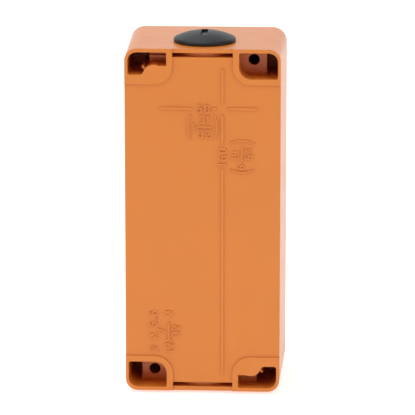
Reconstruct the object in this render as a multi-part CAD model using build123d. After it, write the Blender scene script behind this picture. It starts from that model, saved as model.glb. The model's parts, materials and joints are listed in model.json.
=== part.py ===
from build123d import *
from math import atan2, cos, degrees, pi, radians, sin, tan
import os

# Wall-mounted ticket validator, millimetres.
# +Z is up, the wall lies in the plane Y = 0 behind the box, and the front looks towards -Y.
# The origin is the middle of the two wall screws, on the plane of the four rear pads.

# ---------------------------------------------------------------- driving dimensions
# rear housing
WIDTH, HEIGHT, DEPTH = 77.4, 174.8, 61.0
DRAFT = 1.2                     # growth of each side from the rear to the front of the housing
CORNER_R = 6.0
WALL = 2.4
PAD_PROUD = 0.9                 # the corner pads stand this far off the rear panel
PANEL = 2.5                     # thickness of the rear panel
PAD_W, PAD_H, PAD_R = 23.75, 17.9, 9.0
HOLE_X, HOLE_Z = 25.0, 80.0     # wall screws: 50 x 160 mm, on one diagonal
HOLE_R = 2.8
WELL_DEPTH = 14.3
FLOOR = 2.6
SHAFT_DEPTH = 34.0              # the cored channel beside each well
# cable entries, top and bottom (M25)
ENTRY_Y = -21.5
ENTRY_R = 12.65
COLLAR_R = 18.0
ENTRY_WALL = 6.2
SLOT_W, SLOT_NEAR, SLOT_FAR = 30.0, 2.1, 4.3
# front cover
COVER_GAP = 0.4
COVER_T = 9.0
COVER_SKIN = 2.4
COVER_RIM = 2.7                 # thickness of the cover's sides at its rear edge
COVER_W, COVER_H, COVER_R = 79.4, 176.8, 7.0
COVER_LEAN = 11                 # degrees that the cover's sides lean in towards its face
SEAL_T = 1.2
WINDOW_W, WINDOW_H, WINDOW_R, WINDOW_T, WINDOW_Z = 54.0, 24.0, 3.0, 1.6, 53.0
TARGET_W, TARGET_H, TARGET_R, TARGET_T, TARGET_Z = 54.0, 34.0, 5.0, 1.0, 11.0
INLAY_FIT = 0.4                 # the window's and the card target's recesses are this much larger
LENS_X, LENS_Z, LENS_R = (-12, 0, 12), 35.5, 2.5
BUTTON_X, BUTTON_Z, BUTTON_R = (-14, 14), -16.0, 5.2
BUTTON_PROUD = 1.8
SOUND_X, SOUND_Z, SOUND_PITCH, SOUND_SLOTS = 6.0, -64.0, 3.0, 5
MOUTH_W, MOUTH_H, MOUTH_PROUD = 67.0, 21.0, 5.0
THROAT_W, THROAT_H = 58.0, 5.0
SPIGOT_W, SPIGOT_H, SPIGOT_R = 62.0, 8.2, 1.8
HINGE_X, HINGE_R, PIN_R = 41.2, 2.2, 1.0
HINGE_Z = (48.0, -48.0)
# quarter-turn latches, on the other diagonal
LATCH_X, LATCH_Z = 24.2, 73.9
LATCH_R, LATCH_STEM_R, CROSS_BAR = 6.0, 2.5, 11.2
COLUMN_FRONT = -55.0
# ticket path
PATH_Z = -38.0
DRIVE_Y, TYRE_R, PINCH_R = -46.0, 6.0, 5.0
ROLLER_X = 14.0
DRIVE_SHAFT_R, PINCH_SHAFT_R = 2.0, 1.5
MODULE, GEAR_TEETH, PINION_TEETH = 0.8, 36, 12
MOTOR_R, MOTOR_END, MOTOR_SHAFT_R, MOTOR_SCREWS = 10.0, 7.5, 1.0, 8.0
SIDE_X = 31.0                   # inner faces of the mechanism's side plates
SHEET = 1.2
CHASSIS_LOW, CHASSIS_TOP = -64.5, 4.0
GUIDE_GAP = 0.8                 # each ticket guide stands this far from the ticket
# stamp
STAMP_Y = -28.0
YOKE_W, YOKE_BACK = 24.0, -16.0
COIL_R, COIL_BORE, COIL_LOW, COIL_TOP = 9.6, 4.3, -15.4, 1.4
PLUNGER_R, TAIL_R = 3.9, 2.0
STAMP_TOP, STAMP_FOOT = -29.5, -35.2
SPOOL_X, SPOOL_Z = 21.5, -14.0
HUB_R, FLANGE_R = 3.0, 7.4
FULL_R, EMPTY_R = 6.0, 4.5      # radii of the wound tape on the supply and take-up spools
TAPE, TAPE_FRONT, TAPE_BACK = 0.15, -35.6, -24.2
PIN_LEFT, PIN_RIGHT, PIN_Z, PIN_GUIDE_R = -26.0, 24.5, -34.2, 1.5
CASSETTE_FACE = -38.2           # the cassette's plate hangs on the solenoid bracket's tab here
THUMBSCREW_Z = 5.6
# circuit boards and the posts that carry them and the mechanism, as (X, Z) pairs
BOARD_T = 1.6
FRONT_BOARD_Y = -60.4           # rear face of the front board
FRONT_BOARD = (-31, 31, -24, 66)    # left, right, low and high edges
MAIN_BOARD = (-32, 32, 9, 64)
FRONT_POSTS = [(x, z) for x in (-27, 27) for z in (-20, 62)]
MAIN_POSTS = [(x, z) for x in (-28, 28) for z in (13, 60)]
CHASSIS_POSTS = [(x, z) for x in (-26, 26) for z in (-58, -4)]
STRIKER_SCREWS = [(33.4, 74.5), (33.4, 80.5)]

# ---------------------------------------------------------------- derived places
TAPER = degrees(atan2(DRAFT, DEPTH))
FRONT = -DEPTH
PANEL_IN = -PAD_PROUD - PANEL
COVER_REAR = FRONT - COVER_GAP
COVER_FACE = COVER_REAR - COVER_T
COVER_IN = COVER_FACE + COVER_SKIN
HINGE_Y = FRONT - COVER_GAP / 2
DRIVE_Z = PATH_Z - 0.15 - TYRE_R
PINCH_Z = PATH_Z + 0.15 + PINCH_R
GEAR_CENTRES = MODULE * (GEAR_TEETH + PINION_TEETH) / 2
MESH_ANGLE = -50.0              # direction of the motor from the drive shaft, in the Y-Z plane
MOTOR_Y = DRIVE_Y + GEAR_CENTRES * cos(radians(MESH_ANGLE))
MOTOR_Z = DRIVE_Z + GEAR_CENTRES * sin(radians(MESH_ANGLE))
BACK_PLATE = -8.0               # rear face of the mechanism's back plate
BOARD_Y = -10.0                 # rear face of the main board
BOARD_FRONT = BOARD_Y - BOARD_T
FRONT_BOARD_FACE = FRONT_BOARD_Y - BOARD_T

NODES = {}


# ---------------------------------------------------------------- small helpers
def box(x0, x1, y0, y1, z0, z1):
    centre = Pos((x0 + x1) / 2, (y0 + y1) / 2, (z0 + z1) / 2)
    return centre * Box(abs(x1 - x0), abs(y1 - y0), abs(z1 - z0))


def rod(axis, radius, start, end, a, b):
    """A round bar along an axis; a and b are its other two coordinates, in X, Y, Z order."""
    bar = Cylinder(radius, abs(end - start))
    middle = (start + end) / 2
    if axis == "X":
        return Pos(middle, a, b) * Rot(0, 90, 0) * bar
    if axis == "Y":
        return Pos(a, middle, b) * Rot(90, 0, 0) * bar
    return Pos(a, b, middle) * bar


def tube(axis, outer, inner, start, end, a, b):
    low, high = min(start, end), max(start, end)
    return rod(axis, outer, low, high, a, b) - rod(axis, inner, low - 1, high + 1, a, b)


def slab(sketch, y, depth, taper=0.0):
    """Extrude an X-Z sketch towards the front, from the plane at y."""
    plane = Plane((0, y, 0), x_dir=(1, 0, 0), z_dir=(0, -1, 0))
    return extrude(plane * sketch, amount=depth, taper=taper)


def side_sheet(points, x0, x1):
    """Extrude a Y-Z outline along X."""
    plane = Plane((x0, 0, 0), x_dir=(0, 1, 0), z_dir=(1, 0, 0))
    return extrude(plane * make_face(Polyline(*points, close=True)), amount=x1 - x0)


def opposite(shape):
    """The same shape at the diagonally opposite corner of the box."""
    return Rot(0, 180, 0) * shape


def corner(u, v):
    """A point u from the side edge and v from the end edge, in the +X +Z corner."""
    return (WIDTH / 2 - u, HEIGHT / 2 - v)


def corner_box(u0, u1, v0, v1, y0, y1):
    x0, z0 = corner(u0, v0)
    x1, z1 = corner(u1, v1)
    return box(min(x0, x1), max(x0, x1), y0, y1, min(z0, z1), max(z0, z1))


def rounded(corners, radii):
    """A closed outline whose corners have the given radii."""
    return make_face(FilletPolyline(*corners, radius=radii, close=True))


def spring(radius, wire, height, turns):
    """A helical spring standing on Z = 0, its wire's middle line height tall."""
    path = Helix(pitch=height / turns, height=height, radius=radius)
    section = Plane(origin=path @ 0, z_dir=path % 0) * Circle(wire / 2)
    return sweep(section, path=path, is_frenet=True)


def put(name, *shapes):
    NODES[name] = list(shapes)


# ---------------------------------------------------------------- rear housing
def entry_frame(shape):
    """Place a shape on the middle of the top cable entry, square to the drafted wall."""
    lift = -(ENTRY_Y + PAD_PROUD) * tan(radians(TAPER))
    return Pos(0, ENTRY_Y, HEIGHT / 2 + lift) * Rot(-TAPER, 0, 0) * shape


def wave_outline():
    """The well around a latch column: its column bulges into one side of the opening."""
    column = Pos(*corner(14.5, 13.5)) * Circle(5.4)
    u_in, u_out, v_in, v_out = 1.6, 20.8, 1.85, 13.05
    points = [corner(u_in, v_in), corner(u_out, v_in), corner(u_out, v_out), corner(u_in, v_out)]
    outline = rounded(points, [4.4, 0.8, 0.8, 1.2])
    step_x, step_z = corner(14.5, 8.6)
    edge_x, edge_z = corner(u_out + 2, v_out + 2)
    middle = Pos((step_x + edge_x) / 2, (step_z + edge_z) / 2)
    shelf = middle * Rectangle(abs(step_x - edge_x), abs(step_z - edge_z))
    outline -= column + shelf
    meet = corner(9.1, v_out)
    sharp = outline.vertices().sort_by_distance((meet[0], meet[1], 0))[0]
    return fillet(sharp, 1.8)


def mount_outline(u_end=20.6, radius=6.0):
    points = [corner(1.4, 1.85), corner(u_end, 1.85), corner(u_end, 14.9), corner(1.4, 14.9)]
    return rounded(points, [4.6, 1.0, radius, 1.0])


def rear_housing():
    outline = RectangleRounded(WIDTH, HEIGHT, CORNER_R)
    shell = slab(outline, -PAD_PROUD, DEPTH - PAD_PROUD, -TAPER)

    inner = RectangleRounded(WIDTH - 2 * WALL, HEIGHT - 2 * WALL, CORNER_R - WALL)
    cavity = slab(inner, PANEL_IN, DEPTH + PANEL_IN + 1, -TAPER)
    # blocks behind the wells stay solid
    mount_block = corner_box(0, 22.6, 0, 16.9, 0, -WELL_DEPTH - FLOOR)
    mount_block += corner_box(0, 9.3, 0, 16.9, 0, -SHAFT_DEPTH - FLOOR)
    mount_block = mirror(mount_block, about=Plane.YZ)
    latch_block = corner_box(0, 22.8, 0, 15.1, 0, -WELL_DEPTH - FLOOR)
    latch_block += corner_box(0, 14.5, 0, 15.1, 0, COLUMN_FRONT)
    latch_block += rod("Y", 8.6, 0, COLUMN_FRONT, LATCH_X, LATCH_Z)
    entry_block = entry_frame(box(-17, 17, -COLLAR_R - 2, 20.6, -ENTRY_WALL, 2))
    for block in (mount_block, latch_block, entry_block):
        cavity -= block
        cavity -= opposite(block)
    shell -= cavity

    # four pads, proud of the rear panel
    pad_points = [corner(-3, -3), corner(PAD_W, -3), corner(PAD_W, PAD_H), corner(-3, PAD_H)]
    pad = rounded(pad_points, [1, 1, PAD_R, 1]) & outline
    for shape in (pad, mirror(pad, about=Plane.YZ)):
        lump = slab(shape, 0, PAD_PROUD)
        shell += lump
        shell += opposite(lump)

    # wells with the wall screws' holes
    well = slab(mount_outline(), 0, WELL_DEPTH)
    well += slab(mount_outline(7.3, 1.0), 0, SHAFT_DEPTH)
    well = mirror(well, about=Plane.YZ)
    well += rod("Y", HOLE_R, 1, -WELL_DEPTH - FLOOR - 1, -HOLE_X, HOLE_Z)
    # wells around the latch columns: a deep corner, a ribbed shallow end and a thin web
    wave = slab(wave_outline(), 0, SHAFT_DEPTH)
    shallow = corner_box(11.8, 22, 0, 14, -12.5, -SHAFT_DEPTH - 1)
    shallow += corner_box(11.8, 22, 5.0, 6.1, -10.4, -13)
    web_line = Pos(*corner(10.2, 11.2)) * Rot(0, 0, 52) * Rectangle(5.0, 1.1)
    web = slab(web_line, -3.6, SHAFT_DEPTH)
    wave -= shallow + web
    for hollow in (well, wave):
        shell -= hollow
        shell -= opposite(hollow)

    # cable entries with their cored slots
    slot = box(-SLOT_W / 2, SLOT_W / 2, -18, 23, -SLOT_FAR, -SLOT_NEAR)
    slot -= rod("Z", COLLAR_R, -8, 2, 0, 0)
    slot &= box(-SLOT_W / 2, SLOT_W / 2, 0, 23, -9, 0)
    hole = rod("Z", ENTRY_R, -9, 3, 0, 0)
    for cut in (entry_frame(slot), entry_frame(hole)):
        shell -= cut
        shell -= opposite(cut)

    # latch pockets and their screw holes
    pocket = rod("Y", 7.0, COLUMN_FRONT - 1, COLUMN_FRONT + 5.4, LATCH_X, LATCH_Z)
    for x, z in STRIKER_SCREWS:
        pocket += rod("Y", 1.12, COLUMN_FRONT - 1, COLUMN_FRONT + 5, x, z)
    shell -= pocket
    shell -= opposite(pocket)

    # bosses for the mechanism and the main board
    for x, z in CHASSIS_POSTS:
        shell += tube("Y", 3.6, 1.52, PANEL_IN, BACK_PLATE, x, z)
    for x, z in MAIN_POSTS:
        shell += tube("Y", 3.0, 1.12, PANEL_IN, BOARD_Y, x, z)

    # hinge knuckles on the left wall, seen from the rear
    for z in HINGE_Z:
        shell -= rod("Z", HINGE_R + 0.35, z - 5.3, z + 5.3, HINGE_X, HINGE_Y)
        for low, high in ((z - 10.3, z - 5.3), (z + 5.3, z + 10.3)):
            knuckle = rod("Z", HINGE_R, low, high, HINGE_X, HINGE_Y)
            knuckle += box(HINGE_X - 3, HINGE_X, FRONT, FRONT + HINGE_R - COVER_GAP / 2, low, high)
            shell += knuckle
            shell -= rod("Z", PIN_R, low - 0.1, high + 0.1, HINGE_X, HINGE_Y)
    return shell


def entry_plug():
    flange = revolve(Plane.XZ * make_face([
        Line((0, 0), (15.2, 0)), Line((15.2, 0), (15.5, 0.4)), Line((15.5, 0.4), (15.5, 1.5)),
        Line((15.5, 1.5), (14.9, 2.1)), ThreePointArc((14.9, 2.1), (7.6, 4.66), (0, 5.5)),
        Line((0, 5.5), (0, 0))]), Axis.Z)
    flange -= tube("Z", 14.3, 12.9, -1, 0.8, 0, 0)
    shank = tube("Z", 12.35, 10.2, -13, 0, 0, 0)
    plug = flange + shank
    plug -= box(-1.6, 1.6, -8, 8, 3.4, 7)
    return plug


def plug_locknut():
    hexagon = Pos(0, 0, -ENTRY_WALL - 4) * Rot(0, 0, 30) * RegularPolygon(15.0, 6, major_radius=False)
    nut = extrude(hexagon, amount=4)
    return nut - rod("Z", 12.37, -12, 0, 0, 0)


# ---------------------------------------------------------------- front cover
def cover_shell():
    cover = slab(RectangleRounded(COVER_W, COVER_H, COVER_R), COVER_REAR, COVER_T, COVER_LEAN)
    cover = fillet(cover.faces().sort_by(Axis.Y)[0].edges(), 2.2)
    hollow = RectangleRounded(COVER_W - 2 * COVER_RIM, COVER_H - 2 * COVER_RIM, COVER_R - COVER_SKIN)
    cover -= slab(hollow, COVER_REAR, COVER_T - COVER_SKIN, COVER_LEAN - 2)
    # apertures and recesses in the face
    window_seat = RectangleRounded(WINDOW_W + INLAY_FIT, WINDOW_H + INLAY_FIT, WINDOW_R + INLAY_FIT / 2)
    cover -= slab(Pos(0, WINDOW_Z) * window_seat, COVER_FACE + WINDOW_T + 0.1, 3)
    sight = RectangleRounded(WINDOW_W - 6, WINDOW_H - 6, WINDOW_R / 2)
    cover -= slab(Pos(0, WINDOW_Z) * sight, COVER_FACE + 4, 8)
    target_seat = RectangleRounded(TARGET_W + INLAY_FIT, TARGET_H + INLAY_FIT, TARGET_R + INLAY_FIT / 2)
    cover -= slab(Pos(0, TARGET_Z) * target_seat, COVER_FACE + TARGET_T + 0.2, 3)
    for x in LENS_X:
        cover -= rod("Y", LENS_R + 0.1, COVER_FACE - 1, COVER_IN + 1, x, LENS_Z)
    for x in BUTTON_X:
        cover -= rod("Y", BUTTON_R + 0.5, COVER_FACE - 1, COVER_IN + 1, x, BUTTON_Z)
    spigot_hole = RectangleRounded(SPIGOT_W + 0.6, SPIGOT_H + 0.6, SPIGOT_R + 0.2)
    cover -= slab(Pos(0, PATH_Z) * spigot_hole, COVER_FACE + 8, 12)
    for i in range(SOUND_SLOTS):
        z = SOUND_Z + SOUND_PITCH * (i - (SOUND_SLOTS - 1) / 2)
        cover -= slab(Pos(SOUND_X, z) * SlotOverall(16, 1.3), COVER_FACE + 4, 8)
    # latch bosses
    for x, z in ((LATCH_X, LATCH_Z), (-LATCH_X, -LATCH_Z)):
        cover += rod("Y", 4.6, COVER_IN, COVER_REAR - 0.6, x, z)
        cover -= rod("Y", LATCH_R + 0.4, COVER_FACE - 1, COVER_FACE + 1.8, x, z)
        cover -= rod("Y", LATCH_STEM_R + 0.05, COVER_FACE - 1, COVER_REAR + 1, x, z)
    # posts for the front board
    for x, z in FRONT_POSTS:
        cover += rod("Y", 2.8, COVER_IN, FRONT_BOARD_FACE, x, z)
        cover -= rod("Y", 1.12, COVER_IN - 0.5, FRONT_BOARD_FACE + 1, x, z)
    # hinge knuckles
    for z in HINGE_Z:
        for low, high in ((z - 10.6, z - 5.0), (z + 5.0, z + 10.6)):
            cover -= rod("Z", HINGE_R + 0.35, low, high, HINGE_X, HINGE_Y)
        knuckle = rod("Z", HINGE_R, z - 5, z + 5, HINGE_X, HINGE_Y)
        knuckle += box(HINGE_X - 3.6, HINGE_X, HINGE_Y - HINGE_R, COVER_REAR, z - 5, z + 5)
        cover += knuckle
        cover -= rod("Z", PIN_R + 0.05, z - 5.1, z + 5.1, HINGE_X, HINGE_Y)
    return cover - slab(seal_outline(), FRONT, SEAL_T)


def hinge_pin(z):
    return rod("Z", PIN_R, z - 10.3, z + 10.3, HINGE_X, HINGE_Y)


def seal_outline():
    return RectangleRounded(78.0, 175.4, 6.2) - RectangleRounded(75.2, 172.6, 5.0)


def latch(x, z):
    """A three-sided key socket, a stem with a retaining ring, and the bar that grips the striker."""
    foot = COLUMN_FRONT + 2.4
    body = rod("Y", LATCH_R, COVER_FACE - 0.4, COVER_FACE + 1.8, x, z)
    body = fillet(body.faces().sort_by(Axis.Y)[0].edges(), 0.5)
    body += rod("Y", LATCH_STEM_R, COVER_FACE + 1.5, foot, x, z)
    body += rod("Y", 4.0, FRONT - 0.2, FRONT - 0.9, x, z)
    body += box(x - 1.8, x + 1.8, foot - 2, foot, z - CROSS_BAR / 2, z + CROSS_BAR / 2)
    body -= slab(Pos(x, z) * Rot(0, 0, 90) * RegularPolygon(3.4, 3), COVER_FACE + 1.2, 3)
    return body


def latch_striker():
    front, back = COLUMN_FRONT - SHEET, COLUMN_FRONT
    plate = box(LATCH_X - 8, LATCH_X + 11.2, front, back, LATCH_Z - 7.5, LATCH_Z + 8.3)
    plate -= box(LATCH_X - 4.1, LATCH_X + 4.1, front - 1, back + 1, LATCH_Z - 6.2, LATCH_Z + 6.2)
    for x, z in STRIKER_SCREWS:
        plate -= rod("Y", 1.3, front - 1, back + 1, x, z)
    return plate


def small_screw(x, z, seat, length, shank, head, head_t):
    """A pan-head screw driven towards the wall, its head resting on the plane at seat."""
    screw = rod("Y", shank, seat - 0.1, seat + length, x, z)
    top = rod("Y", head, seat - head_t, seat, x, z)
    top = fillet(top.faces().sort_by(Axis.Y)[0].edges(), head_t * 0.35)
    screw += top
    cross = box(x - head * 0.6, x + head * 0.6, seat - head_t - 1, seat - head_t * 0.45, z - 0.2, z + 0.2)
    cross += box(x - 0.2, x + 0.2, seat - head_t - 1, seat - head_t * 0.45, z - head * 0.6, z + head * 0.6)
    return screw - cross


def button(x):
    face, foot = COVER_FACE - BUTTON_PROUD, COVER_IN + 1.4
    cap = rod("Y", BUTTON_R, face, foot, x, BUTTON_Z)
    cap = fillet(cap.faces().sort_by(Axis.Y)[0].edges(), 0.9)
    cap += rod("Y", BUTTON_R + 1.3, COVER_IN + 0.1, foot, x, BUTTON_Z)
    dish_r, dish = 13.6, 0.6
    return cap - Pos(x, face + dish - dish_r, BUTTON_Z) * Sphere(dish_r)


def button_spring(x):
    coil = spring(4.75, 0.4, 3.9, 4)
    return Pos(x, FRONT_BOARD_FACE - 0.25, BUTTON_Z) * Rot(90, 0, 0) * coil


def lens(x):
    body = rod("Y", LENS_R, COVER_FACE - 1.2, COVER_IN + 1.4, x, LENS_Z)
    body = fillet(body.faces().sort_by(Axis.Y)[0].edges(), 1.6)
    return body + rod("Y", LENS_R + 0.8, COVER_IN, COVER_IN + 1.0, x, LENS_Z)


def ticket_mouth():
    outer = slab(Pos(0, PATH_Z) * RectangleRounded(MOUTH_W, MOUTH_H, 5), COVER_FACE, MOUTH_PROUD, 14)
    outer = fillet(outer.faces().sort_by(Axis.Y)[0].edges(), 1.2)
    spigot = Pos(0, PATH_Z) * RectangleRounded(SPIGOT_W, SPIGOT_H, SPIGOT_R)
    outer += slab(spigot, FRONT_BOARD_Y - 0.1, FRONT_BOARD_Y - COVER_FACE)
    opening = Pos(0, PATH_Z) * RectangleRounded(THROAT_W, THROAT_H, 1.0)
    throat = slab(opening, FRONT + 1, 20)
    flare = slab(opening, COVER_FACE + 2.4, 7.6, -22)
    return outer - throat - flare


def front_board():
    left, right, low, high = FRONT_BOARD
    board = box(left, right, FRONT_BOARD_FACE, FRONT_BOARD_Y, low, high)
    for x, z in FRONT_POSTS:
        board -= rod("Y", 1.3, FRONT_BOARD_FACE - 1, FRONT_BOARD_Y + 1, x, z)
    return board


def reader_antenna():
    """A thin board with three printed loops, behind the card target."""
    antenna = slab(Pos(0, TARGET_Z) * RectangleRounded(50, 30, 3), COVER_IN + 0.8, 0.8)
    for i in range(3):
        w, h = 46 - 4 * i, 26 - 4 * i
        loop = RectangleRounded(w, h, 2.5) - RectangleRounded(w - 2, h - 2, 1.5)
        antenna += slab(Pos(0, TARGET_Z) * loop, COVER_IN + 1.1, 0.35)
    return antenna


# ---------------------------------------------------------------- ticket transport
def chassis():
    """Folded sheet: a back plate and two cheeks that carry the shafts, with clearance holes."""
    outer = SIDE_X + SHEET
    frame = box(-outer, outer, BACK_PLATE - SHEET, BACK_PLATE, CHASSIS_LOW, CHASSIS_TOP)
    cheek = [(BACK_PLATE, CHASSIS_LOW), (-54, CHASSIS_LOW), (-58, CHASSIS_LOW + 4), (-58, -27),
             (-46, -23), (-46, CHASSIS_TOP - 4), (-42, CHASSIS_TOP), (BACK_PLATE, CHASSIS_TOP)]
    for x in (-outer, SIDE_X):
        frame += side_sheet(cheek, x, x + SHEET)
    frame -= rod("X", 3.2, -40, 40, DRIVE_Y, DRIVE_Z)
    frame -= rod("X", 2.6, -40, 40, DRIVE_Y, PINCH_Z)
    frame -= rod("X", 4.0, 20, 40, MOTOR_Y, MOTOR_Z)
    for y, z in motor_screw_places():
        frame -= rod("X", 1.05, 20, 40, y, z)
    for x, z in CHASSIS_POSTS:
        frame -= rod("Y", 1.7, -20, 0, x, z)
    frame -= slab(Pos(0, -40) * RectangleRounded(36, 26, 4), 0, 20)
    frame -= box(-40, -20, -30, -16, -62, -48)
    return frame


def motor_screw_places():
    across = radians(MESH_ANGLE + 90)
    offset_y, offset_z = MOTOR_SCREWS * cos(across), MOTOR_SCREWS * sin(across)
    return [(MOTOR_Y + s * offset_y, MOTOR_Z + s * offset_z) for s in (-1, 1)]


def bushes():
    out = []
    for z, body, flange, bore in ((DRIVE_Z, 3.2, 3.8, DRIVE_SHAFT_R), (PINCH_Z, 2.6, 3.2, PINCH_SHAFT_R)):
        for side in (-1, 1):
            inner, outer = side * (SIDE_X - 1.0), side * (SIDE_X + SHEET + 0.2)
            low, high = min(inner, outer), max(inner, outer)
            bush = rod("X", body, low, high, DRIVE_Y, z)
            bush += rod("X", flange, min(inner, side * SIDE_X), max(inner, side * SIDE_X), DRIVE_Y, z)
            out.append(bush - rod("X", bore + 0.05, low - 1, high + 1, DRIVE_Y, z))
    return out


def lower_guide():
    top = PATH_Z - GUIDE_GAP
    profile = [(-10.8, top + 2.6), (-12.0, top + 2.6), (-12.0, top), (-54, top), (-59, top - 2.4),
               (-59, top - 3.8), (-54, top - 1.4), (-10.8, top - 1.4)]
    guide = side_sheet(profile, -SIDE_X, SIDE_X)
    for x in (-ROLLER_X, ROLLER_X):
        guide -= box(x - 4.3, x + 4.3, DRIVE_Y - 6.8, DRIVE_Y + 6.8, -50, -30)
    return guide - box(-20, 20, -34.5, -21.5, -50, -30)


def upper_guide():
    low = PATH_Z + GUIDE_GAP
    profile = [(-12.2, low), (-12.2, low + 1), (-54, low + 1), (-59, low + 3.4),
               (-59, low + 2.4), (-54, low)]
    guide = side_sheet(profile, -SIDE_X, SIDE_X)
    for x in (-ROLLER_X, ROLLER_X):
        guide -= box(x - 4.3, x + 4.3, DRIVE_Y - 5.8, DRIVE_Y + 5.8, -50, -30)
    return guide - box(-19.5, 19.5, -34.2, -21.8, -50, -30)


def platen():
    block = box(-SIDE_X, SIDE_X, -33.9, -22.1, -44.0, PATH_Z - 2.2)
    return block + box(-19.4, 19.4, -33.9, -22.1, -41, PATH_Z - 1.9)


def involute_gear(teeth, width, bore, backlash=0.12):
    """A spur gear lying in the X-Y plane, one tooth's middle on +X, from Z = 0 to width."""
    pitch_r = MODULE * teeth / 2
    base_r = pitch_r * cos(radians(20))
    tip_r, root_r = pitch_r + MODULE, pitch_r - 1.25 * MODULE
    inv = tan(radians(20)) - radians(20)
    half = (pi / 2 - backlash / MODULE) / teeth + inv
    start_r = max(base_r, root_r)
    flank = []
    for i in range(6):
        r = start_r + (tip_r - start_r) * i / 5
        roll = (r * r / base_r ** 2 - 1) ** 0.5
        flank.append((r, half - (roll - atan2(roll, 1))))
    one_tooth = [(root_r, flank[0][1])] + flank
    points = []
    for tooth in range(teeth):
        middle = 2 * pi * tooth / teeth
        rising = [(r, middle - a) for r, a in one_tooth]
        falling = [(r, middle + a) for r, a in reversed(one_tooth)]
        points += [(r * cos(a), r * sin(a)) for r, a in rising + falling]
    blank = extrude(make_face(Polyline(*points, close=True)), amount=width)
    return blank - Cylinder(bore, 4 * width)


def along_x(shape, x, y, z, phase):
    """Stand a gear's axis along +X; its +X tooth then points at the phase angle in the Y-Z plane."""
    turned = Plane((x, y, z), x_dir=(0, cos(radians(phase)), sin(radians(phase))), z_dir=(1, 0, 0))
    return turned.location * shape


def drive_gear():
    gear = involute_gear(GEAR_TEETH, 3.0, DRIVE_SHAFT_R)
    for i in range(6):
        gear -= Rot(0, 0, 60 * i + 30) * Pos(8.2, 0, 1.5) * Cylinder(2.3, 4)
    return along_x(gear, SIDE_X + SHEET + 0.5, DRIVE_Y, DRIVE_Z, MESH_ANGLE)


def motor_pinion():
    pinion = involute_gear(PINION_TEETH, 3.1, MOTOR_SHAFT_R)
    half_pitch = 180 / PINION_TEETH
    return along_x(pinion, SIDE_X + SHEET + 0.6, MOTOR_Y, MOTOR_Z, MESH_ANGLE + 180 + half_pitch)


def motor():
    can = rod("X", MOTOR_R, MOTOR_END, SIDE_X, MOTOR_Y, MOTOR_Z)
    can = fillet(can.faces().sort_by(Axis.X)[0].edges(), 1.2)
    can += rod("X", 4.0, SIDE_X, SIDE_X + SHEET + 0.2, MOTOR_Y, MOTOR_Z)
    can -= rod("X", MOTOR_SHAFT_R + 0.05, 18, 40, MOTOR_Y, MOTOR_Z)
    for y, z in motor_screw_places():
        can -= rod("X", 0.85, SIDE_X - 4, SIDE_X + 1, y, z)
    for s in (-1, 1):
        terminal_y = MOTOR_Y + 5 * s
        can += box(MOTOR_END - 3, MOTOR_END + 0.5, terminal_y - 0.4, terminal_y + 0.4,
                   MOTOR_Z - 1.4, MOTOR_Z + 1.4)
    return can


def motor_screws():
    out = []
    for y, z in motor_screw_places():
        seat = SIDE_X + SHEET
        out.append(rod("X", 0.83, SIDE_X - 3.5, seat + 0.1, y, z) + rod("X", 1.6, seat, seat + 0.9, y, z))
    return out


def ring_pair(outer, inner, half_width):
    return [tube("X", outer, inner, s * ROLLER_X - half_width, s * ROLLER_X + half_width, DRIVE_Y,
                 DRIVE_Z if outer == TYRE_R else PINCH_Z) for s in (-1, 1)]


# ---------------------------------------------------------------- stamp and ribbon
def solenoid_frame():
    """A folded yoke round the coil, its foot on the back plate and its tab behind the cassette."""
    half, top = YOKE_W / 2, COIL_TOP
    frame = box(-half, half, CASSETTE_FACE, YOKE_BACK, top, top + 1.6)
    frame += box(-half, half, CASSETTE_FACE + 0.8, YOKE_BACK, COIL_LOW - 1.6, COIL_LOW)
    frame += box(-half, half, YOKE_BACK - 1.6, YOKE_BACK, COIL_LOW - 1.6, top + 1.6)
    frame += box(-10, 10, YOKE_BACK, BACK_PLATE - SHEET, -11, -3)
    frame += box(-5, 5, CASSETTE_FACE, CASSETTE_FACE + 1.4, top, THUMBSCREW_Z + 2.4)
    frame -= rod("Z", COIL_BORE, -20, -10, 0, STAMP_Y)
    frame -= rod("Z", TAIL_R + 0.35, 0, 5, 0, STAMP_Y)
    return frame - rod("Y", 1.22, -40, -36, 0, THUMBSCREW_Z)


def stamp_plunger():
    plunger = rod("Z", PLUNGER_R, STAMP_TOP, -2.0, 0, STAMP_Y)
    plunger += rod("Z", TAIL_R, -2.1, 12.2, 0, STAMP_Y)
    return plunger + rod("Z", 2 * TAIL_R, 11.2, 12.4, 0, STAMP_Y)


def stamp_block():
    block = box(-17.5, 17.5, STAMP_Y - 5.4, STAMP_Y + 5.4, STAMP_FOOT + 0.8, STAMP_TOP)
    return fillet(block.edges().filter_by(Axis.Z), 1.2)


def stamp_spring():
    return Pos(0, STAMP_Y, 3.3) * spring(2.9, 0.5, 7.5, 5)


def ribbon_cassette():
    """The plate that carries both spools' axles, the ribbon's guide pins and a finger grip."""
    plate = slab(Pos(0, SPOOL_Z) * RectangleRounded(58, 44, 3), CASSETTE_FACE, 1.4)
    plate -= rod("Y", 1.4, CASSETTE_FACE - 4, CASSETTE_FACE + 2, 0, THUMBSCREW_Z)
    for x in (-SPOOL_X, SPOOL_X):
        plate += rod("Y", 1.5, CASSETTE_FACE - 0.2, -22.0, x, SPOOL_Z)
    for x in (PIN_LEFT, PIN_RIGHT):
        plate += rod("Y", PIN_GUIDE_R, CASSETTE_FACE - 0.2, -22.6, x, PIN_Z)
    grip = slab(Pos(0, SPOOL_Z + 4) * RectangleRounded(22, 3, 1.4), CASSETTE_FACE - 1.3, 4.0)
    return plate + grip


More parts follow.
